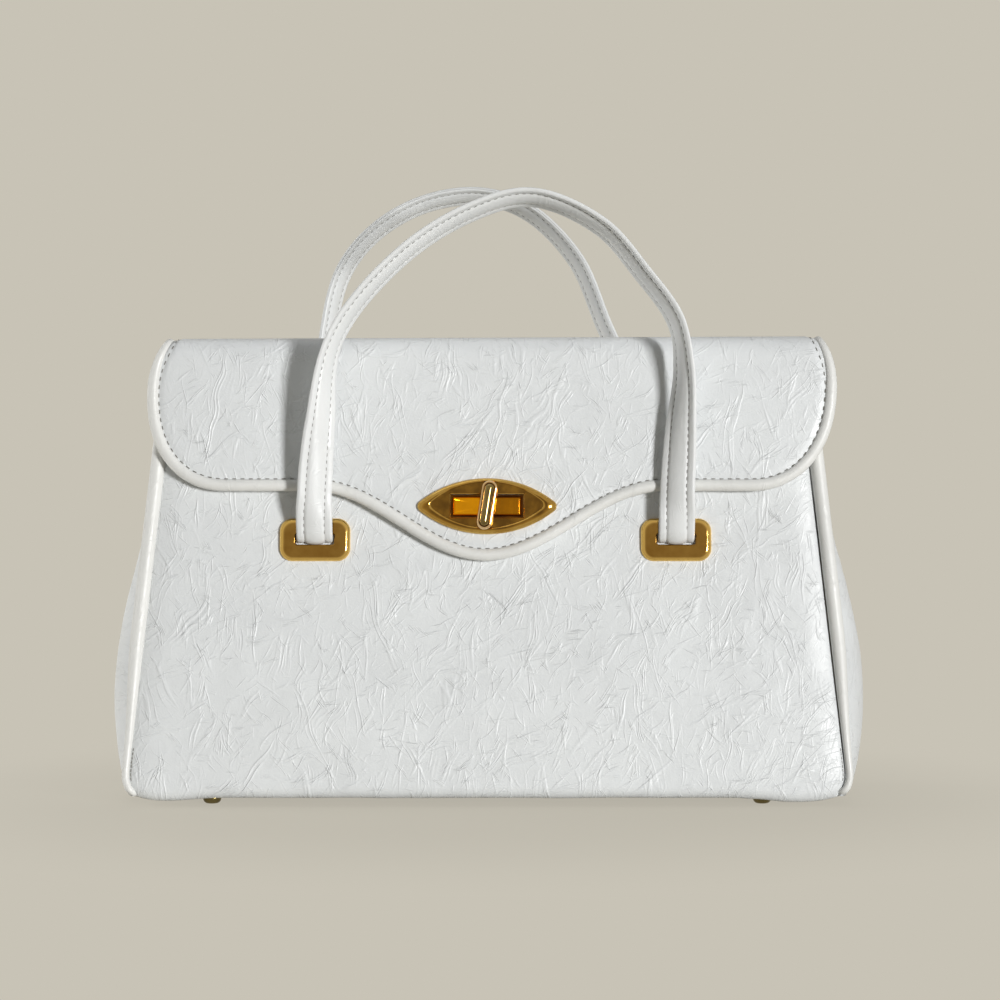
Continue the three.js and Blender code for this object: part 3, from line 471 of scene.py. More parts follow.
def boss_painted_reflection_and_shade(tree, places):
    """Painted reflection and shade on the boss: bright amber on the left, a deeper painted reflection on the
    right, and painted shade in the groove round it.
    """
    across = add_node(tree, "ShaderNodeSeparateXYZ", {"Vector": places}).outputs["X"]
    # Painted reflection: the right half of the boss goes deeper amber
    right = remap(tree, across, 0.0, 0.004, 0.0, 0.5)
    # Painted shade: low down, in the groove round the boss, it goes dark brown
    low = remap(tree, lock_height(tree, places), 0.0010, 0.0013, 1.0, 0.0)
    return calculate(tree, "MAXIMUM", right, low)


# Gold: faces that look front or back take a painted dark reflection, and sloped rims stay bright
GOLD = metal_material("polished gold plate", (BRIGHT_GOLD, DARK_REFLECTION_GOLD), 0.07, shade=painted_front_reflection)
# The lock's gold: its flat field takes a painted dark reflection, and its rim stays brighter
LOCK_GOLD = metal_material("deep gold", ((0.66, 0.43, 0.12), (0.46, 0.24, 0.04), (0.17, 0.085, 0.018)), 0.07,
                           shade=painted_front_reflection, stain=0.3)
# Amber of the boss, with a painted reflection on its right and painted shade in its groove
AMBER_GOLD = metal_material("amber gold", ((1.0, 0.42, 0.008), (0.45, 0.18, 0.008), PAINTED_GROOVE_SHADE), 0.10,
                            shade=boss_painted_reflection_and_shade)
# Pale pink gold of the knob's rim
PINK_GOLD = metal_material("pale pink gold", ((0.86, 0.62, 0.36), (0.70, 0.46, 0.22)), 0.08)
# Dark olive on the knob's crest: a painted dark reflection
CREST_REFLECTION_GOLD = metal_material("olive gold painted reflection", ((0.20, 0.14, 0.05), (0.34, 0.25, 0.10)), 0.08)
# Darker gold for the slot walls: painted shade inside the slots
SLOT_PAINTED_SHADE_GOLD = metal_material("shaded gold", ((0.22, 0.11, 0.02), (0.36, 0.20, 0.05)), 0.16)
# Very dark brass for the feet
DARK_BRASS = metal_material("aged brass", ((0.10, 0.08, 0.035), (0.20, 0.16, 0.07)), 0.14)
STEEL = metal_material("pressed steel", ((0.38, 0.38, 0.36), (0.50, 0.50, 0.48)), 0.28, 0.2)
# Seam thread made dark: painted shade of the sunken stitch holes
SHADED_SEAM_THREAD = thread_material("seam thread", (0.30, 0.29, 0.26), (0.12, 0.11, 0.09))
# Strap thread: its own pale colour, taken down to grey as painted shade of the stitch holes
PALE_THREAD = thread_material("strap thread", (0.55, 0.55, 0.53), (0.22, 0.21, 0.20))


# Body: one sheet of vinyl runs down the front, under the base and up the back
FOLD_RADIUS = 4.5
BASE_Z = 3.8
PANEL_THICKNESS = 2.2
EDGE_ROLL = 11
EDGE_ROLL_DEPTH = 1.5
EDGE_TURN = 1.8
EDGE_TURN_DEPTH = {-1: 0.5, 1: 1.6}
CORNER_PULL = 3.5
CORNER_REACH = 5
PUFF = 1.4
PUFF_Z = 62
PUFF_REACH = 45
SAG = 0.2
SAG_REACH = 12
PANEL_RELIEF = 0.28
QUIET_EDGE = 8
QUIET_HEAD = 10
FOLD_MARK = Vector((0, -47.5, 6))
# Deeper sags near the lower corners: place across, reach and depth
CORNER_SAGS = [(-136, 14, 1.5), (132, 16, 2.0)]


def seam_half(z):
    return lerp(BASE_WIDTH, TOP_WIDTH, (z - FOOT_Z) / BODY_HEIGHT) / 2


def front_y(z):
    return -BASE_DEPTH / 2 + (z - FOOT_Z) * LEAN


def wrap_profile():
    """Section of the sheet from the front's head round the lower fold to the middle of the base."""
    turn = math.pi / 2 + TILT
    reach = FOLD_RADIUS * math.tan(turn / 2)
    centre_y = front_y(BASE_Z) + reach
    centre_z = BASE_Z + FOLD_RADIUS
    fold_top = Vector((0, centre_y - FOLD_RADIUS * math.cos(TILT), centre_z + FOLD_RADIUS * math.sin(TILT)))
    head = Vector((0, front_y(HEAD_Z), HEAD_Z))
    line = evenly([head, fold_top], 1.7)
    for i in range(1, 10):
        angle = math.pi - TILT + turn * i / 10
        spoke = Vector((0, math.cos(angle), math.sin(angle)))
        line.append(Vector((0, centre_y, centre_z)) + spoke * FOLD_RADIUS)
    line += evenly([Vector((0, centre_y, BASE_Z)), Vector((0, 0, BASE_Z))], 3)
    return line


WIDE_HILLS = 30
SMALL_HILLS = 13
CREASE_CELL = 26
CREASE_WIDTH = 0.11
CREASED_PATCH = 45


def relief(place, amount):
    """Soft hills and a few wide creases of the stretched vinyl."""
    hills = noise.noise(place / WIDE_HILLS) + 0.5 * noise.noise(place / SMALL_HILLS)
    leaning = Vector((place.x - 0.55 * place.z, place.y, 0.6 * place.z)) / CREASE_CELL
    near, far = noise.voronoi(leaning)[0][:2]
    creased = smoothstep(-0.1, 0.4, noise.noise(place / CREASED_PATCH))
    crease = bell(far - near, CREASE_WIDTH) * creased
    return amount * (0.6 * hills + crease)


front_half = wrap_profile()
back_half = [Vector((0, -p.y, p.z)) for p in reversed(front_half[:-1])]
profile = front_half + back_half
profile_ways = directions(profile)
fold_index = min(range(len(front_half)), key=lambda i: (front_half[i] - FOLD_MARK).length)
profile_lengths = running_lengths(profile)
fold_length = profile_lengths[fold_index]
whole_length = profile_lengths[-1]


def outward_at(index):
    way = profile_ways[index]
    return Vector((0, way.z, -way.y))


def wrap_point(index, share):
    """A point of the sheet: its place along the section, and across from -1 to 1."""
    middle = profile[index]
    outward = outward_at(index)
    length = profile_lengths[index]
    from_fold = min(abs(length - fold_length), abs(whole_length - fold_length - length))
    half = seam_half(max(middle.z, FOOT_Z)) - CORNER_PULL * bell(from_fold, CORNER_REACH)
    x = half * share
    out = PUFF * (1 - share**4) * bell(middle.z - PUFF_Z, PUFF_REACH)
    from_edge = half * (1 - abs(share))
    turn_depth = EDGE_TURN_DEPTH[-1 if share < 0 else 1]
    for width, depth in ((EDGE_ROLL, EDGE_ROLL_DEPTH), (EDGE_TURN, turn_depth)):
        out -= depth * max(1 - from_edge / width, 0) ** 2
    sag = SAG + sum(depth * bell(x - at, reach) for at, reach, depth in CORNER_SAGS)
    sag *= bell(from_fold, SAG_REACH)
    point = Vector((x, middle.y, middle.z - sag)) + outward * out
    quiet = smoothstep(0, QUIET_EDGE, from_edge) * smoothstep(HEAD_Z, HEAD_Z - QUIET_HEAD, middle.z)
    return point + outward * relief(point, PANEL_RELIEF) * quiet


def wrap_shares():
    """Places across the sheet, closer together at its rolled edges."""
    count = 90
    shares = [-1 + 2 * i / count for i in range(1, count)]
    edges = [1, 0.998, 0.995, 0.992, 0.987]
    return [-e for e in edges] + shares + edges[::-1]


wrap = Form()
wrap.shell([[wrap_point(i, s) for s in wrap_shares()] for i in range(len(profile))], PANEL_THICKNESS)
body_wrap = wrap.piece("body_wrap", VINYL, "vinyl")
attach(body_wrap, "bag_body")
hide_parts("front_panel", "back_panel", "base_panel")


# Short rows of stitches show low on each seam
SEAM_STITCH_LOW = 9
SEAM_STITCH_HIGH = 26
SEAM_STITCH_SHARE = 0.994
seam_rows = Form()
for turned in (False, True):
    for sign in SIDES.values():
        path = []
        ways = []
        for i in range(fold_index):
            index = len(profile) - 1 - i if turned else i
            if SEAM_STITCH_LOW < profile[index].z < SEAM_STITCH_HIGH:
                path.append(wrap_point(index, sign * SEAM_STITCH_SHARE))
                ways.append(outward_at(index))
        stitch_row(seam_rows, path, ways, *SEAM_STITCHES)
seam_stitches = seam_rows.piece("seam_stitches", SHADED_SEAM_THREAD, "trim")
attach(seam_stitches, "bag_body")


# Gussets: soft side walls that bulge low down, with slack folds
GUSSET_BULGE = 16
GUSSET_SLACKER = {-1: -1.3, 1: 0}
GUSSET_BULGE_Z = 52
GUSSET_TUCK = 2.6
GUSSET_BEHIND = 0.4
GUSSET_SLACK = 0.7
SLACK_RISE_Z = (10, 60)
SLACK_FALL_Z = (190, 120)
GUSSET_RELIEF = 0.4
GUSSET_THICKNESS = 1.5
GUSSET_LOW_Z = 4.2
GUSSET_ROWS = 70
GUSSET_COLUMNS = 44


def gusset_bulge(z):
    rise = (z - FOOT_Z) / GUSSET_BULGE_Z
    return GUSSET_BULGE * math.sqrt(max(rise, 0)) * math.exp((1 - rise * rise) / 4)


def gusset_point(sign, across, z):
    depth = -front_y(z)
    y = across * (depth - GUSSET_TUCK / math.cos(TILT))
    fullness = 1 - abs(y / depth) ** 3
    wave = math.sin(3.2 * across + 0.035 * z)
    slack = GUSSET_SLACK * wave * smoothstep(*SLACK_RISE_Z, z) * smoothstep(*SLACK_FALL_Z, z)
    from_corner = math.hypot(abs(y) - BASE_DEPTH / 2, z - FOOT_Z)
    pulled = CORNER_PULL * bell(from_corner, CORNER_REACH)
    bulge = (gusset_bulge(z) + GUSSET_SLACKER[sign] + slack) * fullness
    point = Vector((sign * (seam_half(z) - GUSSET_BEHIND - pulled + bulge), y, z))
    point.x += sign * relief(point, GUSSET_RELIEF) * fullness
    return point


for side, sign in SIDES.items():
    skin = Form()
    rows = []
    for r in range(GUSSET_ROWS + 1):
        z = lerp(HEAD_Z, GUSSET_LOW_Z, r / GUSSET_ROWS)
        rows.append([gusset_point(sign, sign * lerp(-1, 1, c / GUSSET_COLUMNS), z)
                     for c in range(GUSSET_COLUMNS + 1)])
    skin.shell(rows, GUSSET_THICKNESS)
    gusset = skin.piece(f"gusset_skin_{side}", VINYL, "vinyl")
    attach(gusset, "bag_body")
    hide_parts(f"gusset_{side}")


# Welts: rolled strips beside the seams, thinner low down, round the lower corners and just under the base
WELT_RADIUS = 3.1
WELT_LOW_RADIUS = 1.6
WELT_GAP = {-1: -0.2, 1: 0.35}
WELT_RISE = {-1: 0.2, 1: 0.9}
WELT_UNDER = 8
WELT_SWELL_Z = (18, 75)
WELT_END_SHARE = 0.3
WELT_DRAWN = 2

for end, turned in (("front", False), ("back", True)):
    for side, sign in SIDES.items():
        run = []
        sizes = []
        last = fold_index + WELT_UNDER - 1
        for i in range(last + 1):
            index = len(profile) - 1 - i if turned else i
            edge = wrap_point(index, sign)
            drawn_in = smoothstep(0, WELT_UNDER + 3, last - i)
            size = lerp(WELT_LOW_RADIUS, WELT_RADIUS, smoothstep(*WELT_SWELL_Z, edge.z))
            size *= lerp(WELT_END_SHARE, 1, drawn_in)
            out = size + WELT_GAP[sign] - WELT_DRAWN * (1 - drawn_in)
            run.append(edge + Vector((sign * out, 0, 0)) + outward_at(index) * WELT_RISE[sign] * drawn_in)
            sizes.append(size)
        welt = tube(run, sizes, [Vector((1, 0, 0))] * len(run))
        roll = welt.piece(f"welt_roll_{end}_{side}", TRIM, "trim")
        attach(roll, "bag_body")
        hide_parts(f"side_welt_{end}_{side}")


# Flap: one sheet from the back panel over the mouth, round a soft bend and down the front
FLAP_TOP_HALF = 141.5
FLAP_BACK_HALF = 139
FLAP_WIDEST_HALF = 147.2
FLAP_WIDEST_DROP = 21
FLAP_CORNER_WIDTH = 36
FLAP_CORNER_FULLNESS = 2.2
FLAP_HEM_Z = 132.7
TONGUE_HALF = 75
TONGUE_DROP = 29.5
FLAP_TIP_Z = FLAP_HEM_Z - TONGUE_DROP
FLAP_SKEW = 3.8
FLAP_FULLER = 1.2
FLAP_SLOPE = 0.004
FLAP_FULLER_Z = (160, 196)
FLAP_SKEW_FROM = 0.2
ROLL_RADIUS = 2.6
ROLL_TOP_RADIUS = 1.6
ROLL_RUN_OUT = 6
ROLL_TUCK = 1.9
ROLL_END_SHARE = 0.35
STITCH_INSET = 5.2
GROOVE_DEPTH = 0.6
GROOVE_WIDTH = 1.1
COVER_INSET = 3.2
COVER_THICKNESS = 1.7
COVER_TUCK = 0.9
COVER_SWELL = 0.35
COVER_SWELL_REACH = 22
COVER_RELIEF = 0.22
COVER_RELIEF_SHIFT = 300
LOOSE_FROM_LOCK = (14, 34)
LOOSE_FROM_EDGE = (6, 14)
UNDER_THICKNESS = 0.9
GROOVE_ROWS = (-1.1, -0.5, 0, 0.6, 1.3, 2.4)
MID_OFFSET = FLAP_THICKNESS / 2
TOP_RUN = FLAP_BACK_Y - BEND_Y
BEND_RUN = (BEND_RADIUS + MID_OFFSET) * BEND_SWEEP
FOLD_TURN = math.pi / 2 - TILT
FOLD_OUT = 4.5
FOLD_RUN = FOLD_OUT * FOLD_TURN
BAND_RUN = 15
ROLL_FULL_RUN = TOP_RUN + BEND_RUN + 16


def drop_run(z):
    """Length along the sheet's middle at a height on the front drop."""
    start_z = BEND_Z + (BEND_RADIUS + MID_OFFSET) * math.sin(TILT)
    return TOP_RUN + BEND_RUN + (start_z - z) / math.cos(TILT)


def flap_place(x, run, offset):
    """A point of the bent sheet, and its outward normal. Offset is the height over the sheet's underside."""
    if run < 0:
        radius = FOLD_OUT - FLAP_THICKNESS + offset
        centre = Vector((0, FLAP_BACK_Y, FLAP_TOP_Z - FOLD_OUT))
        angle = min(-run / FOLD_OUT, FOLD_TURN)
        normal = Vector((0, math.sin(angle), math.cos(angle)))
        point = centre + normal * radius
        below = max(-run - FOLD_RUN, 0)
        point += Vector((0, math.sin(TILT), -math.cos(TILT))) * below
    elif run < TOP_RUN:
        normal = Vector((0, 0, 1))
        point = Vector((0, FLAP_BACK_Y - run, FLAP_UNDER_Z + offset))
    else:
        angle = min((run - TOP_RUN) / BEND_RUN, 1) * BEND_SWEEP
        normal = Vector((0, -math.sin(angle), math.cos(angle)))
        point = Vector((0, BEND_Y, BEND_Z)) + normal * (BEND_RADIUS + offset)
        below = max(run - TOP_RUN - BEND_RUN, 0)
        point += Vector((0, -math.sin(TILT), -math.cos(TILT))) * below
    rise = (point.z - FLAP_TIP_Z) / (FLAP_TOP_Z - FLAP_TIP_Z)
    point.x = x + FLAP_SKEW * (rise - FLAP_SKEW_FROM)
    point.z += (FLAP_FULLER + FLAP_SLOPE * x) * smoothstep(*FLAP_FULLER_Z, point.z)
    return point, normal


def flap_half_outline():
    """Right half of the flat outline, from the back band to the tip: place across and run along."""
    points = [Vector((FLAP_BACK_HALF - 2, -FOLD_RUN - BAND_RUN)), Vector((FLAP_BACK_HALF - 1, -FOLD_RUN))]
    points += [Vector((lerp(FLAP_BACK_HALF, FLAP_TOP_HALF, i / 8), TOP_RUN * i / 8)) for i in range(8)]
    corner_z = FLAP_TOP_Z - FLAP_WIDEST_DROP
    corner_x = FLAP_WIDEST_HALF - FLAP_CORNER_WIDTH
    for i in range(20):
        run = lerp(TOP_RUN, drop_run(corner_z), i / 20)
        share = (flap_place(0, run, FLAP_THICKNESS)[0].z - corner_z) / FLAP_WIDEST_DROP
        points.append(Vector((FLAP_WIDEST_HALF - (FLAP_WIDEST_HALF - FLAP_TOP_HALF) * share**2, run)))
    for i in range(33):
        angle = i / 32 * math.pi / 2
        across = max(math.cos(angle), 0) ** (2 / FLAP_CORNER_FULLNESS)
        down = math.sin(angle) ** (2 / FLAP_CORNER_FULLNESS)
        z = corner_z - (corner_z - FLAP_HEM_Z) * down
        points.append(Vector((corner_x + FLAP_CORNER_WIDTH * across, drop_run(z))))
    for i in range(41):
        x = TONGUE_HALF * (1 - i / 40)
        dip = TONGUE_DROP * (1 + math.cos(math.pi * x / TONGUE_HALF)) / 2
        points.append(Vector((x, drop_run(FLAP_HEM_Z - dip))))
    return points


def flap_outline():
    half = flap_half_outline()
    return half + [Vector((-p.x, p.y)) for p in reversed(half[:-1])]


def inset_line(line, inset):
    """The flat line set in towards the flap's middle."""
    return [point + Vector((-way.y, way.x)) * inset for point, way in zip(line, directions(line))]


def distance_to_line(places, line):
    """Distance of many flat places to a line of points."""
    nearest = np.full(len(places), 1e9)
    points = np.array(line)
    for start, way in zip(points, points[1:] - points[:-1]):
        share = np.clip((places - start) @ way / max(way @ way, 1e-9), 0, 1)
        gap = places - start - share[:, None] * way
        nearest = np.minimum(nearest, np.hypot(gap[:, 0], gap[:, 1]))
    return nearest


def inside_line(places, line):
    """Whether many flat places lie inside a closed line."""
    inside = np.zeros(len(places), bool)
    x, y = places.T
    for a, b in zip(line, line[1:] + line[:1]):
        if abs(b.y - a.y) > 1e-9:
            crosses = (a.y > y) != (b.y > y)
            inside ^= crosses & (x < (b.x - a.x) * (y - a.y) / (b.y - a.y) + a.x)
    return inside


def flat_sheet(outline, spacing, extra_lines):
    """Triangles that fill a flat outline, with extra lines of points near its edge."""
    low = np.min(outline, 0)
    high = np.max(outline, 0)
    row_gap = spacing * 0.866
    rows = int((high[1] - low[1]) / row_gap) + 1
    columns = int((high[0] - low[0]) / spacing) + 1
    grid = np.array([(low[0] + (c + 0.5 * (r % 2)) * spacing, low[1] + r * row_gap)
                     for r in range(rows) for c in range(columns)])
    closed = outline + outline[:1]
    keep = inside_line(grid, outline) & (distance_to_line(grid, closed) > spacing * 0.7)
    for line in extra_lines:
        keep &= distance_to_line(grid, line) > spacing * 0.4
    inner = [Vector(p) for p in grid[keep]]
    extra = np.array([p for line in extra_lines for p in line]).reshape(-1, 2)
    extra_keep = inside_line(extra, outline) & (distance_to_line(extra, closed) > 0.3)
    inner += [Vector(p) for p in extra[extra_keep]]
    flat, _, triangles, *_ = delaunay_2d_cdt(outline + inner, [], [list(range(len(outline)))], 1, 1e-5)
    return flat, triangles


def flap_layer(form, flat, triangles, outer, thickness):
    """A closed sheet over the flat triangles. Outer gives each place's height over the flap's underside."""
    layer = len(flat)
    heights = outer(flat)
    upper = [flap_place(p.x, p.y, h)[0] for p, h in zip(flat, heights)]
    lower = [flap_place(p.x, p.y, h - thickness)[0] for p, h in zip(flat, heights)]
    faces = [tuple(t) for t in triangles]
    faces += [tuple(layer + i for i in reversed(t)) for t in triangles]
    sides = dict.fromkeys((a, b) for t in triangles for a, b in zip(t, [*t[1:], t[0]]))
    faces += [(b, a, layer + a, layer + b) for a, b in sides if (b, a) not in sides]
    form.add(upper + lower, faces)


outline = evenly(flap_outline(), 2.2)
front_start = next(i for i, p in enumerate(outline) if p.y > -FOLD_RUN * 0.6)
edge_line = outline[front_start:len(outline) - front_start]


def cover_heights(flat):
    heights = []
    for place, gap in zip(flat, distance_to_line(np.array(flat), edge_line)):
        groove = GROOVE_DEPTH * bell(gap - STITCH_INSET, GROOVE_WIDTH)
        tuck = COVER_TUCK * smoothstep(STITCH_INSET, COVER_INSET, gap)
        swell = COVER_SWELL * smoothstep(STITCH_INSET, COVER_SWELL_REACH, gap)
        on_front = smoothstep(TOP_RUN, TOP_RUN + 20, place.y)
        from_lock = math.hypot(place.x * 0.6, place.y - drop_run(LOCK_PLACE.z))
        loose = on_front * smoothstep(*LOOSE_FROM_LOCK, from_lock)
        hills = relief(Vector((place.x, COVER_RELIEF_SHIFT, -place.y)), COVER_RELIEF)
        hills *= smoothstep(*LOOSE_FROM_EDGE, gap)
        heights.append(FLAP_THICKNESS - groove - tuck + (swell + hills) * loose)
    return heights


cover_outline = evenly(inset_line(flap_outline(), COVER_INSET), 2.2)
groove_lines = [evenly(inset_line(edge_line, STITCH_INSET + row), 1.6) for row in GROOVE_ROWS]
flat, triangles = flat_sheet(cover_outline, 2.4, groove_lines)
cover = Form()
flap_layer(cover, flat, triangles, cover_heights, COVER_THICKNESS)
flap_skin = cover.piece("flap_skin", VINYL, "vinyl")
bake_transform(flap_skin)
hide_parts("flap_cover", "flap_fold")

under_outline = evenly(inset_line(edge_line, COVER_INSET - 0.6), 3)
flat, triangles = flat_sheet(under_outline, 6, [])
under = Form()
flap_layer(under, flat, triangles, lambda places: [UNDER_THICKNESS] * len(places), UNDER_THICKNESS)
flap_under = under.piece("flap_under", LINING, "lining")
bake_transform(flap_under)
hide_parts("flap_lining")

roll_edge = evenly(edge_line, 2)
roll_sizes = [lerp(ROLL_TOP_RADIUS, ROLL_RADIUS, smoothstep(TOP_RUN, ROLL_FULL_RUN, p.y)) for p in roll_edge]
ran_out = [1 - smoothstep(0, ROLL_RUN_OUT, min(i, len(roll_edge) - 1 - i)) for i in range(len(roll_edge))]
inward = [near - edge for near, edge in zip(inset_line(roll_edge, 1), roll_edge)]
roll_line = [edge + way * (size + ROLL_TUCK * share)
             for edge, way, size, share in zip(roll_edge, inward, roll_sizes, ran_out)]
roll_sizes = [size * lerp(1, ROLL_END_SHARE, share) for size, share in zip(roll_sizes, ran_out)]
roll_path, roll_ups = zip(*[flap_place(p.x, p.y, MID_OFFSET) for p in roll_line])
roll_sizes = [size * (1 + 0.035 * noise.noise(point / 5) + 0.03 * noise.noise(point / 17))
              for size, point in zip(roll_sizes, roll_path)]
flap_roll = tube(roll_path, roll_sizes, roll_ups).piece("flap_roll", TRIM, "trim")
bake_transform(flap_roll)
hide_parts("flap_rolled_edge")

stitch_line = evenly(inset_line(edge_line, STITCH_INSET), 0.5)
stitch_height = FLAP_THICKNESS - GROOVE_DEPTH + 0.12
stitch_path, stitch_ups = zip(*[flap_place(p.x, p.y, stitch_height) for p in stitch_line])
stitch_form = Form()
stitch_row(stitch_form, stitch_path, stitch_ups, *FLAP_STITCHES)
flap_stitches = stitch_form.piece("flap_stitches", SHADED_SEAM_THREAD, "trim")
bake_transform(flap_stitches)


# Lining: a woven shell that follows the inside of the walls, and bound edges at the mouth
LINING_BEHIND = 4.0
LINING_SIDE = 3.0
LINING_THICKNESS = 0.8
LINING_FLOOR_Z = 11.9
LINING_COLUMNS = 40
LINING_SIDE_COLUMNS = 20
BINDING_HALF = 128
BINDING_BEHIND = 2.4
BINDING_DEPTH = 2.7
BINDING_HEIGHT = 2.1


def lining_ring(z, inset):
    """Section of the lining at a height: its front and right walls, and the same turned half round."""
    depth = -front_y(z)
    reach = depth - (LINING_BEHIND + inset) / math.cos(TILT)

    def side_x(y):
        return seam_half(z) - LINING_SIDE - inset + gusset_bulge(z) * (1 - abs(y / depth) ** 3)

    edge = side_x(reach)
    half = [Vector((lerp(-edge, edge, i / LINING_COLUMNS), -reach, z)) for i in range(LINING_COLUMNS)]
    for i in range(LINING_SIDE_COLUMNS):
        y = lerp(-reach, reach, i / LINING_SIDE_COLUMNS)
        half.append(Vector((side_x(y), y, z)))
    return half + [Vector((-p.x, -p.y, z)) for p in half]


lining_heights = [lerp(LINING_FLOOR_Z, HEAD_Z, (i / 30) ** 1.3) for i in range(31)]
lining_rings = [lining_ring(z - LINING_THICKNESS * (z < LINING_FLOOR_Z + 1), 0) for z in lining_heights]
lining_rings += [lining_ring(z, LINING_THICKNESS) for z in reversed(lining_heights)]
lining_shell = lofted(lining_rings).piece("lining_shell", LINING, "lining", 50)
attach(lining_shell, "bag_body")
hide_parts(*[f"lining_{wall}" for wall in ("front", "back", "left", "right", "floor")])

binding_section = [Vector((0, BINDING_DEPTH * math.cos(a), BINDING_HEIGHT * math.sin(a)))
                   for a in turn_angles(14)]
for end, turn in (("front", 1), ("back", -1)):
    rings = []
    for i in range(121):
        x = lerp(-BINDING_HALF, BINDING_HALF, i / 120)
        near_end = smoothstep(0, 3, BINDING_HALF - abs(x))
        size = lerp(0.3, 1, near_end) * (1 + 0.04 * noise.noise(Vector((x / 9, turn * 5, 0))))
        middle = Vector((x, turn * (front_y(HEAD_Z) + BINDING_BEHIND), HEAD_Z + 0.1))
        rings.append([middle + spoke * size for spoke in binding_section])
    mouth_roll = lofted(rings).piece(f"mouth_roll_{end}", TRIM, "trim")
    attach(mouth_roll, "bag_body")
    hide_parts(f"mouth_binding_{end}")


# Metal fittings: rings of a flat outline at rising heights over the face that carries them
def leaning_place(origin, turn=0.0, roll=0.0):
    """Turns x across, y up the slope and z outwards into the bag's frame."""
    slope = Matrix(((1, 0, 0, 0), (0, math.sin(TILT), -math.cos(TILT), 0),
                    (0, math.cos(TILT), math.sin(TILT), 0), (0, 0, 0, 1)))
    return (Matrix.Rotation(turn, 4, "Z") @ Matrix.Translation(origin) @ slope
            @ Matrix.Rotation(roll, 4, "Z"))


def rounded_rectangle(length, height, corner, per_corner=16):
    points = []
    for c, (sign_x, sign_y) in enumerate(((1, 1), (-1, 1), (-1, -1), (1, -1))):
        for i in range(per_corner):
            angle = (c + i / (per_corner - 1)) * math.pi / 2
            points.append((sign_x * (length / 2 - corner) + corner * math.cos(angle),
                           sign_y * (height / 2 - corner) + corner * math.sin(angle)))
    return points


def arc_points(centre, radius, start, finish, count):
    return [(centre[0] + radius * math.cos(a), centre[1] + radius * math.sin(a))
            for a in (lerp(start, finish, (i + 0.5) / count) for i in range(count))]


def pointed_oval(length, height, tip):
    """Two shallow arcs that meet in rounded tips, from the right tip round by the top."""
    half = length / 2 - tip
    rise = height / 2 - tip
    radius = (half**2 + rise**2) / (2 * rise)
    sweep = math.asin(half / radius)
    quarter = math.pi / 2
    points = arc_points((half, 0), tip, 0, quarter - sweep, 4)
    points += arc_points((0, rise - radius), radius + tip, quarter - sweep, quarter + sweep, 24)
    points += arc_points((-half, 0), tip, quarter + sweep, 3 * quarter - sweep, 8)
    points += arc_points((0, radius - rise), radius + tip, 3 * quarter - sweep, 3 * quarter + sweep, 24)
    return points + arc_points((half, 0), tip, 3 * quarter + sweep, 4 * quarter, 4)


def circle(radius, count=64):
    return [(radius * math.cos(a), radius * math.sin(a)) for a in turn_angles(count, 0.5)]


def ring_at(outline, height, place):
    return [place @ Vector((x, y, height)) for x, y in outline]


def box_ring(length, width, grown, corner, height, place):
    """A rounded rectangle that is grown on every side, at a height over a place."""
    return ring_at(rounded_rectangle(length + 2 * grown, width + 2 * grown, corner), height, place)


PLATE_LENGTH = 30
PLATE_HEIGHT = 18.3
PLATE_CORNER = 5.5
SLOT_LENGTH = 16.2
SLOT_HEIGHT = 4.4
SLOT_CORNER = 0.8
# Profiles of the fittings: inset or growth of the outline, and height over the face
PLATE_PROFILE = [(0, 0.0), (0, 0.8), (0.12, 1.4), (0.5, 2.0), (1.1, 2.5), (1.8, 2.8), (2.5, 2.9)]
SLOT_PROFILE = [(0.6, 2.9), (0.3, 2.82), (0.1, 2.6), (0, 2.3), (0, 0.0)]


def build_plate(end, side, turn):
    sign = SIDES[side]
    x = sign * PLATE_X + FITTINGS_SHIFT[end]
    place = leaning_place(Vector((x, front_y(PLATE_Z), PLATE_Z)), turn)
    rings = [box_ring(PLATE_LENGTH, PLATE_HEIGHT, -inset, PLATE_CORNER - 0.7 * inset, height, place)
             for inset, height in PLATE_PROFILE]
    walls = [box_ring(SLOT_LENGTH, SLOT_HEIGHT, grown, SLOT_CORNER + grown, height, place)
             for grown, height in SLOT_PROFILE]
    # The plate's flat face takes the gold's painted dark reflection
    plate = lofted(rings + walls[:1], capped=False).piece(f"plate_frame_{end}_{side}", GOLD, "gold", 40)
    # The slot walls take darker gold, a painted shade in the recess
    slot = lofted(walls, capped=False).piece(f"plate_slot_{end}_{side}", SLOT_PAINTED_SHADE_GOLD, "gold", 40)
    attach(plate, "bag_body")
    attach(slot, "bag_body")
    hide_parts(f"handle_plate_{end}_{side}")


for end, turn in (("front", 0), ("back", math.pi)):
    for side in SIDES:
        build_plate(end, side, turn)


# The lock plate's profile also has a shift up the slope
LOCK_PROFILE = [(0, 0.1, 0), (0, 0.9, 0), (0.15, 1.5, 0), (0.5, 2.1, 0.05), (1.0, 2.6, 0.1), (1.5, 2.9, 0.2),
                (1.8, 3.0, 0.3), (2.1, 2.85, 0.35), (2.3, 2.5, 0.4)]
WINDOW_PROFILE = [(0.75, 2.5), (0.55, 2.75), (0.25, 2.75), (0, 2.5), (0, 0.1)]
BOSS_PROFILE = [(-0.85, 0.12), (-0.85, 0.3), (0, 0.3), (0, 1.0), (0.12, 1.25), (0.75, 1.85), (0.95, 1.9),
                (1.15, 1.75)]
LOCK_LENGTH = 59
LOCK_HEIGHT = 24
LOCK_TIP = 2.6
WINDOW_LENGTH = 31
WINDOW_HEIGHT = 10
WINDOW_CORNER = 0.4
BOSS_LENGTH = 29.2
BOSS_HEIGHT = 8.2
BOSS_CORNER = 0.35
BOSS_BORE = 2.4
POST_RADIUS = 2.0

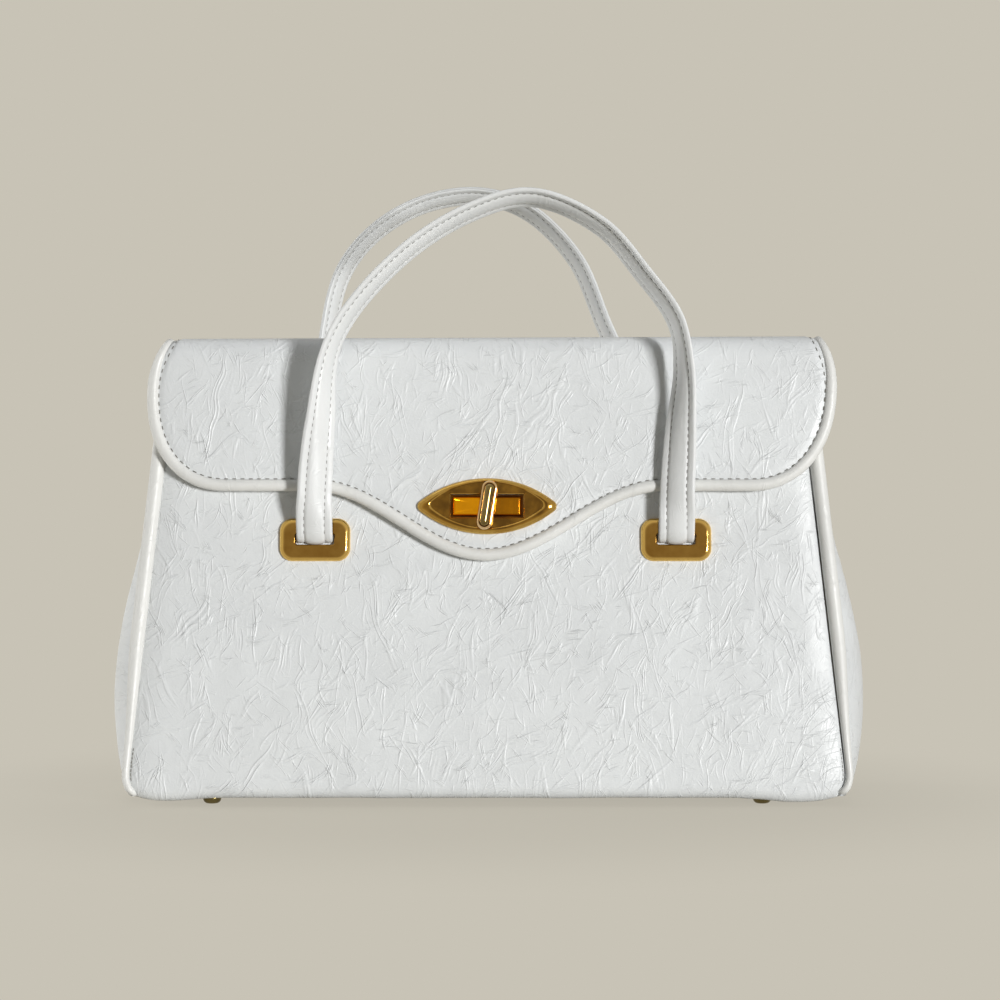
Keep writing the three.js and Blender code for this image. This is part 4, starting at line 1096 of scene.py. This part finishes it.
lock_place = leaning_place(LOCK_PLACE)
rings = []
for inset, height, shift in LOCK_PROFILE:
    share = 1 - 2 * inset / LOCK_HEIGHT
    outline_here = pointed_oval(LOCK_LENGTH * share, LOCK_HEIGHT * share, LOCK_TIP * share)
    rings.append(ring_at([(x, y + shift) for x, y in outline_here], height, lock_place))
rings += [box_ring(WINDOW_LENGTH, WINDOW_HEIGHT, grown, WINDOW_CORNER + grown, height, lock_place)
          for grown, height in WINDOW_PROFILE]
# The lock's flat field takes a painted dark reflection
lock_face = lofted(rings, ringed=True).piece("lock_face", LOCK_GOLD, "gold", 35)
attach(lock_face, "flap")
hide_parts("lock_plate")

rings = [box_ring(BOSS_LENGTH, BOSS_HEIGHT, -inset, BOSS_CORNER, height, lock_place)
         for inset, height in BOSS_PROFILE]
rings += [ring_at(circle(BOSS_BORE), height, lock_place) for height in (1.75, 0.2)]
# The boss takes amber with a painted reflection and painted shade
lock_block = lofted(rings, ringed=True).piece("lock_block", AMBER_GOLD, "gold", 35)
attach(lock_block, "flap")
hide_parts("lock_boss")

KNOB_RIM_PROFILE = [(0.9, 3.3), (0.35, 3.55), (0.0, 4.1), (0.0, 4.8), (0.2, 5.35), (0.5, 5.7), (0.9, 5.75),
                    (1.15, 5.5), (1.2, 5.3)]
KNOB_CREST_PROFILE = [(1.2, 5.3), (1.4, 5.9), (1.8, 6.6), (2.3, 7.1), (2.8, 7.4), (3.2, 7.5)]
KNOB_WIDTH = 6.8
KNOB_LENGTH = 21
knob_place = leaning_place(LOCK_PLACE, roll=-KNOB_LEAN)


def knob_ring(inset, height):
    return box_ring(KNOB_WIDTH, KNOB_LENGTH, -inset, KNOB_WIDTH / 2 - inset, height, knob_place)


rings = [ring_at(circle(POST_RADIUS), h, knob_place) for h in (0.2, 3.3)]
rings += [knob_ring(i, h) for i, h in KNOB_RIM_PROFILE]
lock_turn = lofted(rings, capped=False).piece("lock_turn", PINK_GOLD, "gold", 50)
# The crest takes the dark olive of a painted reflection
rings = [knob_ring(i, h) for i, h in KNOB_CREST_PROFILE]
lock_crest = lofted(rings).piece("lock_crest", CREST_REFLECTION_GOLD, "gold", 50)
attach(lock_turn, "lock_knob")
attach(lock_crest, "lock_knob")
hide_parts("lock_knob")


# Feet: small domed studs
FOOT_PROFILE = [(0.4, 0), (2.0, 0), (2.6, 0.12), (3.2, 0.5), (3.65, 1.1), (3.88, 1.9), (3.9, 2.6),
                (3.75, 3.2), (3.3, 3.7), (2.6, 4.1), (2.4, 5.6)]
FOOT_X = 117
FOOT_Y = 35
for end, turn in (("front", -1), ("back", 1)):
    for side, sign in SIDES.items():
        place = Matrix.Translation(Vector((sign * FOOT_X, turn * FOOT_Y, 0)))
        rings = [ring_at(circle(radius, 32), height, place) for radius, height in FOOT_PROFILE]
        foot = lofted(rings).piece(f"foot_dome_{end}_{side}", DARK_BRASS, "dark_brass", 50)
        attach(foot, "bag_body")
        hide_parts(f"foot_{end}_{side}")


# Handles: two sewn layers that leave the slots, bend up, and turn from flat on the bag to flat in the hand
FRONT_ARCH = [(-76, 25), (-74, 48), (-68, 84), (-42, 117), (-12, 137), (15, 144),
              (44, 132), (62, 112), (76, 92), (79.5, 72), (78, 45), (76.8, 22)]
BACK_ARCH = [(-75, 30), (-66, 66), (-53, 96), (-40, 126), (-18, 148), (4, 155),
             (30, 151), (52, 138), (66, 120), (73, 92), (76, 48), (76.8, 22)]
PIVOT_Y = -41.074
PIVOT_Z = 112.62
STRAP_HALF = 7.7
STRAP_REACH = 5
STRAP_REACH_HEIGHT = 18
STRAP_TWIST_LOW = math.radians(22)
STRAP_TWIST = math.radians(46)
STRAP_TWIST_START = 16
STRAP_TWIST_END = 85
STRAP_SEAM = 4.3
STRAP_EDGE = 1.0
STRAP_PAD = 0.85
STRAP_GROOVE = 0.32
STRAP_GROOVE_WIDTH = 0.55
STRAP_STEP = 1.0
STRAP_UNSEWN = 8
PINCH_DEPTH = 0.2
PINCH_WAVES = 500
PINCH_AT = 0.53
PINCH_REACH = 0.05
STRAP_IN_SLOT = 12
# Points of a strap's path from inside its slot out and up: depth into the bag and height, in millimetres
SLOT_STEPS = [(8.8, -1.0), (5.0, -1.0), (2.4, -0.5), (0.3, 1.8), (-1.2, 6), (-2.3, 11)]


def strap_frames(arch, turning):
    """Points along the middle of a strap with its width and facing directions, in the handle's own frame.
    Turning is 1 where the face turns to the hand, and -1 where the back does."""
    def lean(height):
        return -STRAP_REACH * (1 - math.exp(-height / STRAP_REACH_HEIGHT))

    places = [Vector((-PLATE_X, y, h)) for y, h in SLOT_STEPS]
    places += [Vector((x, lean(h), h)) for x, h in arch]
    places += [Vector((PLATE_X, y, h)) for y, h in reversed(SLOT_STEPS)]
    path = evenly(smooth_path(places), STRAP_STEP)
    made = []
    count = len(path)
    for i, (point, along) in enumerate(zip(path, directions(path))):
        end_side = Vector((-1, 0, 0)) if i < count / 2 else Vector((1, 0, 0))
        outward = (Vector((-along.z, 0, along.x)) + end_side * 0.02).normalized()
        facing = along.cross(outward).normalized()
        outward = facing.cross(along).normalized()
        from_end = min(i, count - 1 - i) * STRAP_STEP - STRAP_IN_SLOT
        twist = STRAP_TWIST_LOW * smoothstep(2, STRAP_TWIST_START, from_end)
        twist += STRAP_TWIST * smoothstep(STRAP_TWIST_START, STRAP_TWIST_END, from_end)
        twist *= turning
        width = outward * math.cos(twist) + facing * math.sin(twist)
        face = facing * math.cos(twist) - outward * math.sin(twist)
        made.append((point, width, face))
    return made


def face_top(across):
    """Height of the sewn face over the strap's middle: flat edges, a stitch groove and a padded centre."""
    gap = abs(across)
    pad = STRAP_PAD * math.cos(min(gap / STRAP_SEAM, 1) * math.pi / 2) ** 0.8
    groove = STRAP_GROOVE * bell(gap - STRAP_SEAM, STRAP_GROOVE_WIDTH)
    return STRAP_EDGE + pad - groove


def layer_section(top, low, half, rounding):
    """Outline of a strap layer across the strap, from one lower edge over the top to the other."""
    section = [(lerp(-half, half, i / 4), low) for i in range(5)]
    for i in range(33):
        across = lerp(half, -half, i / 32)
        over = max(abs(across) - (half - rounding), 0) / rounding
        section.append((across, low + (top(across) - low) * max(1 - over**2, 0.02) ** 0.5))
    return section


def back_top(across):
    """Depth of the strap's back under its middle: like the face, with a flatter centre."""
    return 0.2 + 0.75 * face_top(across)


def pinch(share, across):
    """Small cross wrinkles where the strap bends most, just past its top."""
    centre = max(1 - (across / STRAP_SEAM) ** 2, 0)
    fading = bell(share - PINCH_AT, PINCH_REACH)
    return PINCH_DEPTH * math.sin(share * PINCH_WAVES) * centre * fading


def build_strap(end, arch, turn, turning):
    frames = strap_frames(arch, turning)
    pivot = Vector((FITTINGS_SHIFT[end], PIVOT_Y, PIVOT_Z))
    place = Matrix.Rotation(turn, 4, "Z") @ Matrix.Translation(pivot)
    back_section = layer_section(back_top, 0.4, STRAP_HALF - 0.25, 0.8)
    sections = {
        "face": (layer_section(face_top, -0.3, STRAP_HALF, 0.9), [f"{end}_handle_face"]),
        "back": ([(a, -b) for a, b in reversed(back_section)],
                 [f"{end}_handle_backing", f"strap_end_{end}_left", f"strap_end_{end}_right"]),
    }
    for layer, (section, nodes) in sections.items():
        rings = []
        for i, (point, width, face) in enumerate(frames):
            share = i / (len(frames) - 1)
            ripple = 1 + 0.012 * noise.noise(point / 11)
            ring = []
            for across, out in section:
                raised = out + math.copysign(pinch(share, across), out)
                ring.append(place @ (point + width * across * ripple + face * raised))
            rings.append(ring)
        strap = lofted(rings).piece(f"{end}_strap_{layer}", VINYL_STRAP, "vinyl", 50)
        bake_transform(strap)
        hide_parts(*nodes)
    rows = Form()
    sewn = frames[STRAP_UNSEWN:-STRAP_UNSEWN]
    for facing, height in ((1, face_top(STRAP_SEAM) + 0.1), (-1, back_top(STRAP_SEAM) + 0.1)):
        for sign in (-1, 1):
            path = [place @ (p + w * sign * STRAP_SEAM + f * facing * height) for p, w, f in sewn]
            normals = [(place.to_3x3() @ f * facing).normalized() for _, _, f in sewn]
            stitch_row(rows, path, normals, *STRAP_STITCHES)
    stitches = rows.piece(f"{end}_strap_stitches", PALE_THREAD, "trim")
    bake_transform(stitches)


build_strap("front", FRONT_ARCH, 0, 1)
build_strap("back", BACK_ARCH, math.pi, -1)


# Solids that stay in the model get their finish
for node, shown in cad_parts.items():
    if node.startswith(("plate_backing", "foot_washer")) or node in ("lock_keeper_backing", "lock_retainer"):
        finish = STEEL
    elif node == "base_board":
        finish = BOARD
    else:
        finish = GOLD
    shown.data.materials.clear()
    shown.data.materials.append(finish)


# Stage: floor, light and camera
BACKDROP = (0.578, 0.546, 0.468)
FLOOR_HALF = 4
CAMERA_LENS = 94.3
CAMERA_PLACE = (0.0055, -1.15, 0.129)


def seen_directly(tree):
    """1 for what the camera sees, straight or in metal, and 0 for light on surfaces."""
    rays = add_node(tree, "ShaderNodeLightPath").outputs
    seen = calculate(tree, "MAXIMUM", rays["Is Camera Ray"], rays["Is Glossy Ray"])
    return calculate(tree, "MAXIMUM", seen, rays["Is Transmission Ray"])


def stage_floor():
    form = bpy.data.meshes.new("floor")
    corners = [(x * FLOOR_HALF, y * FLOOR_HALF, 0) for x, y in ((-1, -1), (1, -1), (1, 1), (-1, 1))]
    form.from_pydata(corners, [], [(0, 1, 2, 3)])
    floor = add_object("floor", form)
    finish = {"Base_Color": (*BACKDROP, 1), "Roughness": 0.9, "Specular_IOR_Level": 0.1}
    material, tree, shader, places = new_material("pale floor", **finish)
    glow = add_node(tree, "ShaderNodeEmission", {"Color": (*BACKDROP, 1), "Strength": 1.0})
    far = add_node(tree, "ShaderNodeVectorMath", {0: places}, operation="LENGTH").outputs["Value"]
    share = calculate(tree, "MULTIPLY", remap(tree, far, 0.10, 0.30, 0.78, 1.0), seen_directly(tree))
    mixed = add_node(tree, "ShaderNodeMixShader", {0: share, 1: shader.outputs[0], 2: glow.outputs[0]})
    tree.links.new(mixed.outputs[0], tree.nodes["Material Output"].inputs["Surface"])
    form.materials.append(material)


def stage_world():
    world = bpy.data.worlds.new("studio")
    world.use_nodes = True
    tree = world.node_tree
    tree.nodes.clear()
    soft = add_node(tree, "ShaderNodeBackground", {"Color": (0.97, 0.99, 1.0, 1), "Strength": 0.11})
    shown = add_node(tree, "ShaderNodeBackground", {"Color": (*BACKDROP, 1), "Strength": 1.0})
    inputs = {0: seen_directly(tree), 1: soft.outputs[0], 2: shown.outputs[0]}
    mixed = add_node(tree, "ShaderNodeMixShader", inputs)
    output = add_node(tree, "ShaderNodeOutputWorld")
    tree.links.new(mixed.outputs[0], output.inputs["Surface"])
    bpy.context.scene.world = world


def stage_lamp(name, place, target, size, power, mirrored=True):
    """A soft lamp aimed at a target. Where it isn't mirrored, glossy surfaces don't show it."""
    lamp = bpy.data.lights.new(name, "AREA")
    lamp.shape = "RECTANGLE"
    lamp.size = size[0]
    lamp.size_y = size[1]
    lamp.energy = power
    held = add_object(name, lamp)
    held.visible_glossy = mirrored
    held.location = place
    held.rotation_euler = (Vector(target) - Vector(place)).to_track_quat("-Z", "Y").to_euler()


def stage_camera():
    data = bpy.data.cameras.new("camera")
    data.lens = CAMERA_LENS
    data.sensor_width = 36
    camera = add_object("camera", data)
    camera.location = CAMERA_PLACE
    camera.rotation_euler = (math.pi / 2, 0, 0)
    bpy.context.scene.camera = camera


stage_floor()
stage_world()
stage_lamp("key", (3.44, -4.90, 0.62), (-2.0, -3.2, 0.12), (1.2, 1.2), 408)
stage_lamp("left", (-1.8, 0.25, 0.45), (-0.1, 0, 0.1), (0.8, 0.8), 23.5, mirrored=False)
stage_lamp("top", (-0.2, 0.25, 1.7), (0, 0, 0.1), (1.2, 0.8), 3)
stage_lamp("rear", (0.3, 2.4, 0.4), (0, 0, 0.1), (1.0, 1.0), 22, mirrored=False)
stage_camera()
bpy.context.scene.view_settings.view_transform = "Standard"

bpy.context.view_layer.update()
